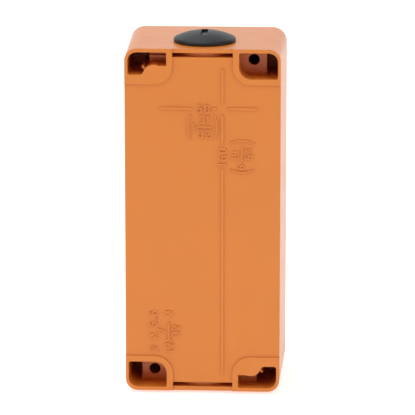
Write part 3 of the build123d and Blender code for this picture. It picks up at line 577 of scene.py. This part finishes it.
def numerals(words, height, width, depth):
    """Raised numerals centred on the origin, as a list of strips."""
    total = sum(NUMERALS[c][0] + LETTER_GAP for c in words) - LETTER_GAP
    left = -total / 2
    out = []
    for c in words:
        advance, strokes = NUMERALS[c]
        for i, stroke in enumerate(strokes):
            level = depth * (1 - CROSSING * i)
            meets = (Vector(stroke[0]) - Vector(stroke[-1])).length < 0.1
            points = [((x + left) * height, (y - 0.5) * height) for x, y in stroke]
            out.append(strip(points, width, level, closed=meets))
        left += advance + LETTER_GAP
    return out


# ---------------------------------------------------------------- drill template on the back
PAD_PROUD = 0.9 * MM
RELIEF = 0.68 * MM
TEXT_H = 4.0 * MM
STROKE_W = 0.86 * MM
LINE_W = 1.25 * MM
# places in millimetres from the middle of the two wall screws
CROSS_X, CROSS_Z = -9.9, 57.4
UPRIGHT_RUNS = ((77.4, 60.4), (54.4, 38.8), (27.0, -78.3))          # each from z to z
LEVEL_RUNS = ((21.8, 5.2), (-4.6, -7.0), (-12.6, -27.5))            # each from x to x
# text, x, z, share of TEXT_H, facing
DIMENSIONS = (
    ("50", -0.5, 57.4, 1.0, REAR_LEVEL), ("31", -1.0, 51.9, 0.9, REAR_LEVEL),
    ("32", -0.9, 44.8, 1.0, REAR_LEVEL), ("1", 4.6, 48.2, 0.9, REAR_LEVEL),
    ("160", CROSS_X, 32.9, 1.05, REAR_UPWARD), ("6", -19.0, 27.9, 0.85, REAR_UPWARD),
    ("19", -16.2, 33.9, 0.85, REAR_UPWARD), ("64", -22.9, 34.8, 0.95, REAR_UPWARD),
    ("2 Ø 5.6", 24.7, -56.4, 1.0, REAR_UPWARD), ("(2)", 16.9, -64.0, 0.95, REAR_UPWARD),
    ("7", 20.3, -56.4, 0.85, REAR_UPWARD), ("32", 13.5, -56.4, 0.95, REAR_UPWARD),
    ("Ø", 16.9, -47.4, 0.95, REAR_UPWARD),
)
# length, x, z, facing
FRACTION_BARS = ((8.4, -0.9, 48.3, REAR_LEVEL), (8.2, -19.5, 34.2, REAR_UPWARD),
                 (8.6, 16.9, -56.2, REAR_UPWARD))
# brackets round the inch fractions: x, z, the side they bow to in degrees, facing
BRACKETS = ((7.2, 48.4, 180, REAR_LEVEL), (-7.2, 48.4, 0, REAR_LEVEL),
            (-19.6, 25.4, 180, REAR_UPWARD), (-19.6, 41.4, 0, REAR_UPWARD))
BOW_R, BOW_SWEEP = 14 * MM, 25


def drill_template():
    """The raised cross lines and dimensions that the housing's mould leaves on the back."""
    parts = []

    def place(x, z, facing):
        return at(x * MM, -PAD_PROUD, z * MM, facing)

    def line(length, width, x, z, facing):
        half = length * MM / 2
        parts.append((strip([(-half, 0), (half, 0)], width, RELIEF), place(x, z, facing)))

    for start, end in UPRIGHT_RUNS:
        line(start - end, LINE_W, CROSS_X, (start + end) / 2, REAR_UPWARD)
    for start, end in LEVEL_RUNS:
        line(start - end, LINE_W, (start + end) / 2, CROSS_Z, REAR_LEVEL)
    for text, x, z, size, facing in DIMENSIONS:
        for shape in numerals(text, TEXT_H * size, STROKE_W, RELIEF):
            parts.append((shape, place(x, z, facing)))
    for length, x, z, facing in FRACTION_BARS:
        line(length, STROKE_W, x, z, facing)
    for x, z, middle, facing in BRACKETS:
        shift = BOW_R if middle == 180 else -BOW_R
        bow = arc(0, 0, BOW_R, BOW_R, middle - BOW_SWEEP, middle + BOW_SWEEP, 12)
        curve = [(px + shift, py) for px, py in bow]
        parts.append((strip(curve, STROKE_W, RELIEF), place(x, z, facing)))
    piece("drill_template", parts, relief, "housing")


# ---------------------------------------------------------------- the face of the cover
SEGMENTS = {"1": "bc", "2": "abged", "4": "fgbc", "5": "afgcd"}
DIGITS = (("1", -14.4), ("2", -6.6), ("4", 3.2), ("5", 11.0))       # each with its x in millimetres
PRINT = 0.04 * MM                                                   # thickness of printed marks


def segment(length, width):
    """One bar of a seven-segment digit, pointed at both ends."""
    a, b = length / 2, width / 2
    return [(-a, 0), (-a + b, b), (a - b, b), (a, 0), (a - b, -b), (-a + b, -b)]


def display_digits():
    """The time on the display, with a row of stops beside it."""
    low, _, middle = span("display_module")
    tall, wide, thick, lean = 10.4 * MM, 5.4 * MM, 1.15 * MM, 0.07
    slant = Matrix(((1, lean, 0), (0, 1, 0), (0, 0, 1))).to_4x4()
    face = at(middle.x - 2.5 * MM, low.y, middle.z)
    parts = []
    half = tall / 2
    places = {"a": (0, half, 0), "g": (0, 0, 0), "d": (0, -half, 0),
              "b": (wide / 2, half / 2, 90), "c": (wide / 2, -half / 2, 90),
              "f": (-wide / 2, half / 2, 90), "e": (-wide / 2, -half / 2, 90)}
    for digit, x in DIGITS:
        for key in SEGMENTS[digit]:
            sx, sy, turn = places[key]
            length = (wide if turn == 0 else half) - 0.35 * MM
            spot = Matrix.Translation((x * MM + sx, sy, 0)) @ Matrix.Rotation(radians(turn), 4, "Z")
            parts.append((prism(segment(length, thick), PRINT), face @ slant @ spot))
    for y in (-2.2, 2.2):
        dot = rounded_outline(1.3 * MM, 1.3 * MM, 0.3 * MM, 2)
        parts.append((prism(dot, PRINT), face @ slant @ Matrix.Translation((-1.7 * MM, y * MM, 0))))
    for i in range(5):
        bar = rounded_outline(3.4 * MM, 1.3 * MM, 0.3 * MM, 2)
        stop = at(middle.x + 18.2 * MM, low.y, middle.z + (i - 2) * 2.5 * MM)
        outline = strip(bar, 0.3 * MM, PRINT, closed=True) if i > 2 else prism(bar, PRINT)
        parts.append((outline, stop))
    piece("display_digits", parts, lcd_ink, "cover")


def band(outer, inner, depth):
    """A flat printed border between two rounded outlines with the same number of points."""
    bm = bmesh.new()
    rings = [[bm.verts.new((x, y, h)) for x, y in outline]
             for outline, h in ((outer, 0), (outer, depth), (inner, depth), (inner, 0))]
    for first, second in zip(rings, rings[1:] + rings[:1]):
        for i in range(len(outer)):
            j = (i + 1) % len(outer)
            bm.faces.new((first[i], first[j], second[j], second[i]))
    return finished(bm, "band")


def window_border():
    """The black print round the display, on the outside of the window."""
    low, high, middle = span("display_window")
    outer = rounded_outline(high.x - low.x - 0.3 * MM, high.z - low.z - 0.3 * MM, 2.8 * MM)
    inner = rounded_outline(high.x - low.x - 9.5 * MM, high.z - low.z - 8 * MM, 1.2 * MM)
    border = band(outer, inner, PRINT)
    piece("window_border", [(border, at(middle.x, low.y, middle.z))], black, "cover")


def card_marks():
    """Where to hold a card: two rings and the outline of a card with its stripe."""
    low, high, middle = span("card_target")
    face = at(middle.x, low.y, middle.z)
    parts = []
    for radius, line_w in ((14.2 * MM, 0.7 * MM), (11.6 * MM, 0.45 * MM)):
        circle = arc(0, 0, radius, radius, 0, 360 * 63 / 64, 63)
        parts.append((strip(circle, line_w, PRINT, closed=True), face))
    card = rounded_outline(14 * MM, 9 * MM, 1.2 * MM)
    parts.append((strip(card, 0.6 * MM, PRINT, closed=True), face))
    parts.append((prism(rounded_outline(13.6 * MM, 1.7 * MM, 0.1 * MM, 2), PRINT),
                  face @ Matrix.Translation((0, 1.9 * MM, 0))))
    for x in (-4.6, -2.4, -0.2):
        dash = rounded_outline(1.5 * MM, 0.7 * MM, 0.2 * MM, 2)
        parts.append((prism(dash, PRINT), face @ Matrix.Translation((x * MM, -2.4 * MM, 0))))
    border = rounded_outline(high.x - low.x - 3 * MM, high.z - low.z - 3 * MM, 3.6 * MM)
    parts.append((strip(border, 0.5 * MM, PRINT, closed=True), face))
    piece("card_marks", parts, print_white, "cover")


def entry_marks():
    """Printed above the ticket slot: a ticket with a notched end and an arrow down to the slot."""
    face_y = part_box("front_cover")[0].y
    parts = []
    ticket = [(-3.4, 6.4), (-3.4, -0.6), (3.4, -0.6), (3.4, 6.4),
              (1.1, 6.4), (0, 5.2), (-1.1, 6.4)]
    spot = at(0, face_y, -17.5 * MM)
    parts.append((strip([(x * MM, y * MM) for x, y in ticket], 0.6 * MM, PRINT, closed=True), spot))
    arrow = [(-0.7, 3.9), (0.7, 3.9), (0.7, -2.4), (2.3, -2.4), (0, -5.0), (-2.3, -2.4), (-0.7, -2.4)]
    parts.append((prism([(x * MM, y * MM) for x, y in arrow], PRINT), spot))
    piece("entry_marks", parts, print_white, "cover")


def button_marks():
    """A raised minus and plus on the two caps."""
    for side, sign in (("left", ("-",)), ("right", ("-", "|"))):
        low, _, middle = span(side + "_button")
        bars = []
        for stroke in sign:
            size = (4.4 * MM, 0.9 * MM) if stroke == "-" else (0.9 * MM, 4.4 * MM)
            bars.append((prism(rounded_outline(*size, 0.4 * MM, 3), 0.1 * MM, 0.02 * MM),
                         at(middle.x, low.y + 0.02 * MM, middle.z)))
        piece(side + "_button_mark", bars, print_white, side + "_button")


def lens_bezels():
    """A small black ring round each status lens."""
    face_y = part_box("front_cover")[0].y
    ring = [(2.55, -0.3), (2.6, 0.25), (2.85, 0.42), (3.25, 0.38), (3.5, 0.05), (3.5, -0.3)]
    parts = []
    for colour in ("red", "amber", "green"):
        middle = span("lens_" + colour)[2]
        parts.append((turned_mm(ring, 40), at(middle.x, face_y, middle.z)))
    piece("lens_bezels", parts, black, "cover")


def speaker_mesh():
    """A disc of woven wire between the buzzer and the sound slots."""
    low, high, middle = span("buzzer")
    spot = at(middle.x, low.y + 0.25 * MM, middle.z)
    radius = (high.x - low.x) / 2 - 0.2 * MM
    pitch, wire = 0.9 * MM, 0.26 * MM
    parts = []
    count = int(radius / pitch)
    for i in range(-count, count + 1):
        offset = i * pitch
        half = (radius ** 2 - offset ** 2) ** 0.5
        parts.append((strip([(offset, -half), (offset, half)], wire, 0.10 * MM), spot))
        parts.append((strip([(-half, offset), (half, offset)], wire, 0.12 * MM), spot))
    piece("speaker_mesh", parts, zinc, "cover")


# ---------------------------------------------------------------- on the circuit boards
# chips as (x, z, width, height, sides with leads), in millimetres; the first table repeats the CAD's
MAIN_CHIPS = ((-8, 44, 14, 14, 4), (10, 50, 9, 7, 2), (10, 38, 6, 5, 2), (-24, 48, 5, 8, 2))
FRONT_CHIPS = ((-10, 48, 12, 12, 2), (10, 50, 8, 6, 2), (12, 38, 6, 5, 2))
LEAD_PITCH = 0.8
# the terminal block's screws, the connectors and the capacitors, in millimetres too
TERMINAL_X, TERMINAL_PITCH, TERMINAL_Z, TERMINAL_DEPTH = -19.4, 5.2, 24, 4.0
SOCKETS, SOCKET_Z = ((12, 4), (25, 3)), 20.5       # x and number of pins of each connector
CAN_R = 3.4


def lead_mesh():
    """A gull-wing lead that starts inside the chip and ends on its pad."""
    half, thick = 0.17 * MM, 0.14 * MM
    side = [(-0.2, 0.62), (0.35, 0.62), (0.55, 0.0), (1.15, 0.0)]
    bm = bmesh.new()
    rows = []
    for y, h in side:
        y, low, high = y * MM, h * MM, h * MM + thick
        corners = ((-half, y, low), (half, y, low), (half, y, high), (-half, y, high))
        rows.append([bm.verts.new(v) for v in corners])
    for first, second in zip(rows, rows[1:]):
        for i in range(4):
            j = (i + 1) % 4
            bm.faces.new((first[i], first[j], second[j], second[i]))
    bm.faces.new(rows[0])
    bm.faces.new(list(reversed(rows[-1])))
    return finished(bm, "lead")


def chip_leads(chips, board_y, facing):
    """Bent tin leads along two or four sides of each chip."""
    parts = []
    for x, z, width, height, sides in chips:
        rows = [(0, height / 2, width), (180, height / 2, width)]
        if sides == 4:
            rows += [(90, width / 2, height), (270, width / 2, height)]
        for turn, out, length in rows:
            count = int((length - 1.2) / LEAD_PITCH) + 1
            for i in range(count):
                slide = (i - (count - 1) / 2) * LEAD_PITCH * MM
                swing = Matrix.Rotation(radians(turn), 4, "Z")
                swing = swing @ Matrix.Translation((slide, out * MM, 0))
                parts.append((lead_mesh(), at(x * MM, board_y, z * MM, facing) @ swing))
    return parts


def small_parts(name, body, spots, base, facing):
    """Surface-mounted resistors and capacitors: a body between two tinned ends."""
    bodies, ends = [], []
    for i, (x, z, upright) in enumerate(spots):
        long, wide, tall = (2.0, 1.25, 0.55) if i % 3 else (1.6, 0.8, 0.8)
        turn = Matrix.Rotation(radians(90 if upright else 0), 4, "Z")
        spot = at(x * MM, base, z * MM, facing) @ turn
        bodies.append((block(long * MM * 0.7, wide * MM, tall * MM, 0.06 * MM), spot))
        for s in (-1, 1):
            cap = block(0.22 * long * MM, wide * MM * 1.04, tall * MM * 1.04, 0.06 * MM)
            ends.append((cap, spot @ Matrix.Translation((s * 0.42 * long * MM, 0, 0))))
    piece(name, bodies, ceramic, body)
    piece(name + "_ends", ends, tin, body)


def main_board_details():
    """What is soldered or screwed to the main board, on the side that faces the cover."""
    board_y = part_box("main_board")[0].y
    leads = chip_leads(MAIN_CHIPS, board_y, FRONT_LEVEL)
    piece("chip_leads", leads, tin, "housing")
    spots = [(-19 + 3.1 * i, 57.5, True) for i in range(10)]
    spots += [(-19 + 3.1 * i, 31.5, i % 2 == 0) for i in range(9)]
    spots += [(17.5, 37 + 3 * i, False) for i in range(6)]
    spots += [(-29, 22 + 3.2 * i, False) for i in range(6)]
    small_parts("main_board_parts", "housing", spots, board_y, FRONT_LEVEL)
    # slotted screws of the terminal block, down in their holes
    screw_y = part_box("terminal_block")[0].y + TERMINAL_DEPTH * MM
    head = [(0, 0.9), (0.35, 0.9), (0.36, 1.3), (1.35, 1.25), (1.62, 0.95), (1.62, 0.0), (0, 0.0)]
    screws = []
    for i in range(5):
        x = TERMINAL_X + TERMINAL_PITCH * i
        screws.append((turned_mm(head, 24), at(x * MM, screw_y, TERMINAL_Z * MM)))
    piece("terminal_screws", screws, zinc, "housing")
    pins = []
    for middle_x, count in SOCKETS:
        for i in range(count):
            x = middle_x + (i - (count - 1) / 2) * 2
            pin = block(0.6 * MM, 0.6 * MM, 3.6 * MM, 0.1 * MM)
            pins.append((pin, at(x * MM, board_y - 1.9 * MM, SOCKET_Z * MM)))
    piece("connector_pins", pins, tin, "housing")
    # the bare ends of the capacitor cans, scored to vent
    tops = []
    low, high, middle = span("board_capacitors")
    lid = [(0, 0.1), (2.6, 0.1), (2.75, 0.06), (2.9, -0.1), (0, -0.1)]
    for x in (low.x + CAN_R * MM, high.x - CAN_R * MM):
        spot = at(x, low.y + 0.05 * MM, middle.z)
        tops.append((turned_mm(lid, 32), spot))
        for turn in (45, 135):
            score = strip([(-2.2 * MM, 0), (2.2 * MM, 0)], 0.25 * MM, 0.16 * MM)
            tops.append((score, spot @ Matrix.Rotation(radians(turn), 4, "Z")))
    piece("capacitor_lids", tops, tin, "housing")


def front_board_details():
    """The side of the front board that faces into the housing."""
    board_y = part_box("front_board")[1].y
    facing = REAR_LEVEL
    spots = [(-24 + 3.2 * i, 36.5, True) for i in range(8)]
    spots += [(8 + 3 * i, 29.5, i % 2 == 1) for i in range(6)]
    spots += [(-26, 40 + 3.2 * i, False) for i in range(5)]
    spots += [(22, 44 + 3 * i, False) for i in range(5)]
    small_parts("front_board_parts", "cover", spots, board_y, facing)
    chips = [(block(width * MM, height * MM, 1.3 * MM, 0.15 * MM), at(x * MM, board_y, z * MM, facing))
             for x, z, width, height, _ in FRONT_CHIPS]
    piece("front_board_chips", chips, epoxy, "cover")
    leads = chip_leads(FRONT_CHIPS, board_y, facing)
    piece("front_board_leads", leads, tin, "cover")
    # soldered pins: the display's row along the top, and four for each switch
    pins = [(-19 + 2.54 * i, 63.2) for i in range(16)]
    pins += [(x + dx, z) for x in (-14, 14) for dx in (-2.5, 2.5) for z in (-18.2, -13.8)]
    cone = [(0, 0.75), (0.25, 0.7), (0.35, 0.35), (0.8, 0.02), (0.8, -0.02), (0, -0.02)]
    joints = [(turned_mm(cone, 14), at(x * MM, board_y, z * MM, facing)) for x, z in pins]
    piece("solder_joints", joints, tin, "cover")


# ---------------------------------------------------------------- in the mechanism
def coil_winding():
    """Enamelled wire wound turn on turn between the bobbin's two flanges."""
    low, high, middle = span("solenoid_coil")
    radius, bore = (high.x - low.x) / 2, 4.3 * MM
    length = high.z - low.z
    flange, wire = 1.1 * MM, 0.42 * MM
    valley, crest = radius - 0.75 * MM, radius - 0.52 * MM
    turns = int((length - 2 * flange) / wire)
    profile = [(bore, 0), (radius, 0), (radius, flange)]
    for i in range(turns):
        h = flange + (i + 0.5) * (length - 2 * flange) / turns
        profile += [(valley, h - wire * 0.48), (crest, h - wire * 0.2),
                    (crest, h + wire * 0.2), (valley, h + wire * 0.48)]
    profile += [(radius, length - flange), (radius, length), (bore, length)]
    stand = Matrix.Translation((middle.x, middle.y, low.z))
    wound = piece("coil_winding", [(turned(profile, 64), stand)], copper, "housing")
    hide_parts("solenoid_coil")
    inner, outer = radius - 1.0 * MM, radius + 0.02 * MM
    rim = [(inner, 0), (outer, 0), (outer, flange), (inner, flange)]
    flanges = [(turned(rim, 64), Matrix.Translation((middle.x, middle.y, z)))
               for z in (low.z, high.z - flange)]
    piece("coil_flanges", flanges, black, "housing")


def springs():
    """The three coil springs, each with a mesh of its own."""
    low, high, middle = span("stamp_spring")
    wire = 0.5 * MM
    coil = helix((high.x - low.x - wire) / 2, wire, high.z - low.z, 6)
    made = piece("stamp_return_spring", [(coil, Matrix.Translation((middle.x, middle.y, low.z)))],
                 steel, "housing")
    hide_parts("stamp_spring")
    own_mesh(made)
    low, high, middle = span("button_springs")
    wire, tall = 0.4 * MM, high.y - low.y
    for side in ("left", "right"):
        x = span(side + "_button")[2].x
        coil = helix((high.z - low.z - wire) / 2, wire, tall, 4)
        foot = (x, high.y, middle.z)
        made = piece(side + "_button_spring", [(coil, at(*foot))], steel, "cover")
        if side == "left":
            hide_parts("button_springs")
        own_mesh(made)


def ribbon():
    """The inked tape under its guide pins, in two halves that belong to no body."""
    low, high, middle = span("ink_ribbon")
    thick, bend = 0.08 * MM, 1.6 * MM
    level = low.z + 0.15 * MM
    for name, sign, side in (("ribbon_left", -1, low.x + 0.1 * MM),
                             ("ribbon_right", 1, high.x - 0.1 * MM)):
        centre = side - sign * bend
        start = 0 if sign > 0 else 180
        line = [(side, high.z)] + arc(centre, level + bend, bend, bend, start, start - sign * 90)
        line += [(centre * (1 - i / 48), level) for i in range(1, 49)]
        run = strip(line, thick, high.y - low.y)
        half = piece(name, [(run, at(0, high.y, 0))], tape, None)
        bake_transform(half)
        if sign < 0:
            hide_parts("ink_ribbon")


def cassette_marks():
    """Moulded rings round the spools' axles, and a printed arrow along the ribbon's run."""
    reels = [span("supply_spool")[2], span("take_up_spool")[2]]
    plate_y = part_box("take_up_spool")[0].y - 3.0 * MM
    ring = [(6.1, -0.05), (6.1, 0.28), (6.3, 0.4), (6.7, 0.4), (6.9, 0.28), (6.9, -0.05)]
    hub = [(1.1, -0.05), (1.1, 0.3), (2.3, 0.3), (2.5, 0.15), (2.5, -0.05)]
    rings = [(turned_mm(profile, 48), at(reel.x, plate_y, reel.z))
             for reel in reels for profile in (ring, hub)]
    piece("cassette_rings", rings, black, "housing")
    y = -10.5 * MM
    start, end = -10 * MM, 8 * MM
    spot = at(0, plate_y, reels[0].z)
    arrow = [(strip([(start, y), (end, y)], 0.5 * MM, PRINT), spot),
             (prism([(end, y + 1.3 * MM), (end, y - 1.3 * MM), (end + 2.6 * MM, y)], PRINT), spot)]
    piece("cassette_arrow", arrow, print_white, "housing")


def motor_end_ring():
    """A moulded rim and bush on the brush end of the motor's can."""
    low, _, middle = span("motor")
    can_end = low.x + 3 * MM            # its two terminals stand this far out of it
    outwards = Matrix.Rotation(radians(-90), 4, "Y")
    rim = [(7.6, -0.2), (7.6, 0.3), (7.8, 0.4), (8.2, 0.3), (8.3, -0.2)]
    bush = [(0, 0.9), (1.6, 0.9), (1.9, 0.6), (2.4, 0.15), (2.4, -0.2), (0, -0.2)]
    spot = Matrix.Translation((can_end, middle.y, middle.z)) @ outwards
    parts = [(turned_mm(profile, 48), spot) for profile in (rim, bush)]
    piece("motor_end_ring", parts, white, "housing")


drill_template()
display_digits()
window_border()
card_marks()
entry_marks()
button_marks()
lens_bezels()
speaker_mesh()
main_board_details()
front_board_details()
coil_winding()
springs()
ribbon()
cassette_marks()
motor_end_ring()


# ---------------------------------------------------------------- stage, light and camera
# The world is brightest in a ring round the wall side and dim in its middle. Each stop is a place
# from -Y, 0, to +Y, 1, and a brightness there.
RING = ((0.0, 1.0), (0.1, 1.0), (0.3, 0.42), (0.56, 0.42), (0.64, 1.75), (0.82, 1.75), (0.9, 0.12))
CAMERA_AZIMUTH, CAMERA_ELEVATION = 183.1, 12.8
CAMERA_DISTANCE = 1.6
CAMERA_LENS = 273.4265          # millimetres, on a sensor 36 mm wide
CAMERA_TARGET = Vector((-0.0009, -0.030, 0.0007))


def stage_floor():
    bm = bmesh.new()
    bmesh.ops.create_grid(bm, x_segments=1, y_segments=1, size=4)
    mesh = bpy.data.meshes.new("floor")
    bm.to_mesh(mesh)
    bm.free()
    floor = bpy.data.objects.new("floor", mesh)
    bpy.context.collection.objects.link(floor)
    floor.location = (0, 0, cad_low.z - 0.0002)
    s = Shader("pale_floor", srgb(205, 205, 205), 0.7)
    s.colour(s.mix(s.noise(3, detail=2), srgb(203, 203, 203), srgb(207, 207, 207)))
    s.bsdf.inputs["Emission Color"].default_value = (1, 1, 1, 1)
    s.bsdf.inputs["Emission Strength"].default_value = 0.62
    mesh.materials.append(s.material)


def soft_light(name, place, target, size, watts):
    data = bpy.data.lights.new(name, "AREA")
    data.shape = "SQUARE"
    data.size = size
    data.energy = watts
    lamp = bpy.data.objects.new(name, data)
    bpy.context.collection.objects.link(lamp)
    lamp.location = place
    lamp.rotation_mode = "QUATERNION"
    lamp.rotation_quaternion = (Vector(target) - Vector(place)).to_track_quat("-Z", "Y")


def studio():
    """The camera sees plain white behind the object, and the ring lights it, with a soft overhead."""
    world = bpy.data.worlds.new("studio")
    bpy.context.scene.world = world
    world.use_nodes = True
    tree = world.node_tree
    backdrop = tree.nodes["Background"]
    place = tree.nodes.new("ShaderNodeTexCoord")
    split = tree.nodes.new("ShaderNodeSeparateXYZ")
    tree.links.new(place.outputs["Generated"], split.inputs[0])
    level = tree.nodes.new("ShaderNodeMapRange")
    for key, number in (("From Min", -1), ("From Max", 1), ("To Min", 0), ("To Max", 1)):
        level.inputs[key].default_value = number
    tree.links.new(split.outputs["Y"], level.inputs["Value"])
    ramp = tree.nodes.new("ShaderNodeValToRGB")
    tree.links.new(level.outputs["Result"], ramp.inputs[0])
    stops = ramp.color_ramp.elements
    while len(stops) < len(RING):
        stops.new(0.5)
    for stop, (position, value) in zip(stops, RING):
        stop.position = position
        stop.color = (value, value, value, 1)
    light = tree.nodes.new("ShaderNodeBackground")
    tree.links.new(ramp.outputs[0], light.inputs["Color"])
    light.inputs["Strength"].default_value = 1.0
    backdrop.inputs["Color"].default_value = (1, 1, 1, 1)
    path = tree.nodes.new("ShaderNodeLightPath")
    either = tree.nodes.new("ShaderNodeMixShader")
    tree.links.new(path.outputs["Is Camera Ray"], either.inputs[0])
    tree.links.new(light.outputs[0], either.inputs[1])
    tree.links.new(backdrop.outputs[0], either.inputs[2])
    tree.links.new(either.outputs[0], tree.nodes["World Output"].inputs["Surface"])
    soft_light("overhead", (0.4, -0.3, 1.6), (0, 0, 0), 1.2, 7)
    bpy.context.scene.view_settings.view_transform = "Standard"


def camera():
    data = bpy.data.cameras.new("camera")
    data.sensor_width = 36
    data.lens = CAMERA_LENS
    eye = bpy.data.objects.new("camera", data)
    bpy.context.collection.objects.link(eye)
    a, e = radians(CAMERA_AZIMUTH), radians(CAMERA_ELEVATION)
    back = Vector((sin(a) * cos(e), -cos(a) * cos(e), sin(e)))
    eye.location = CAMERA_TARGET + back * CAMERA_DISTANCE
    eye.rotation_mode = "QUATERNION"
    eye.rotation_quaternion = (-back).to_track_quat("-Z", "Y")
    bpy.context.scene.camera = eye


stage_floor()
studio()
camera()
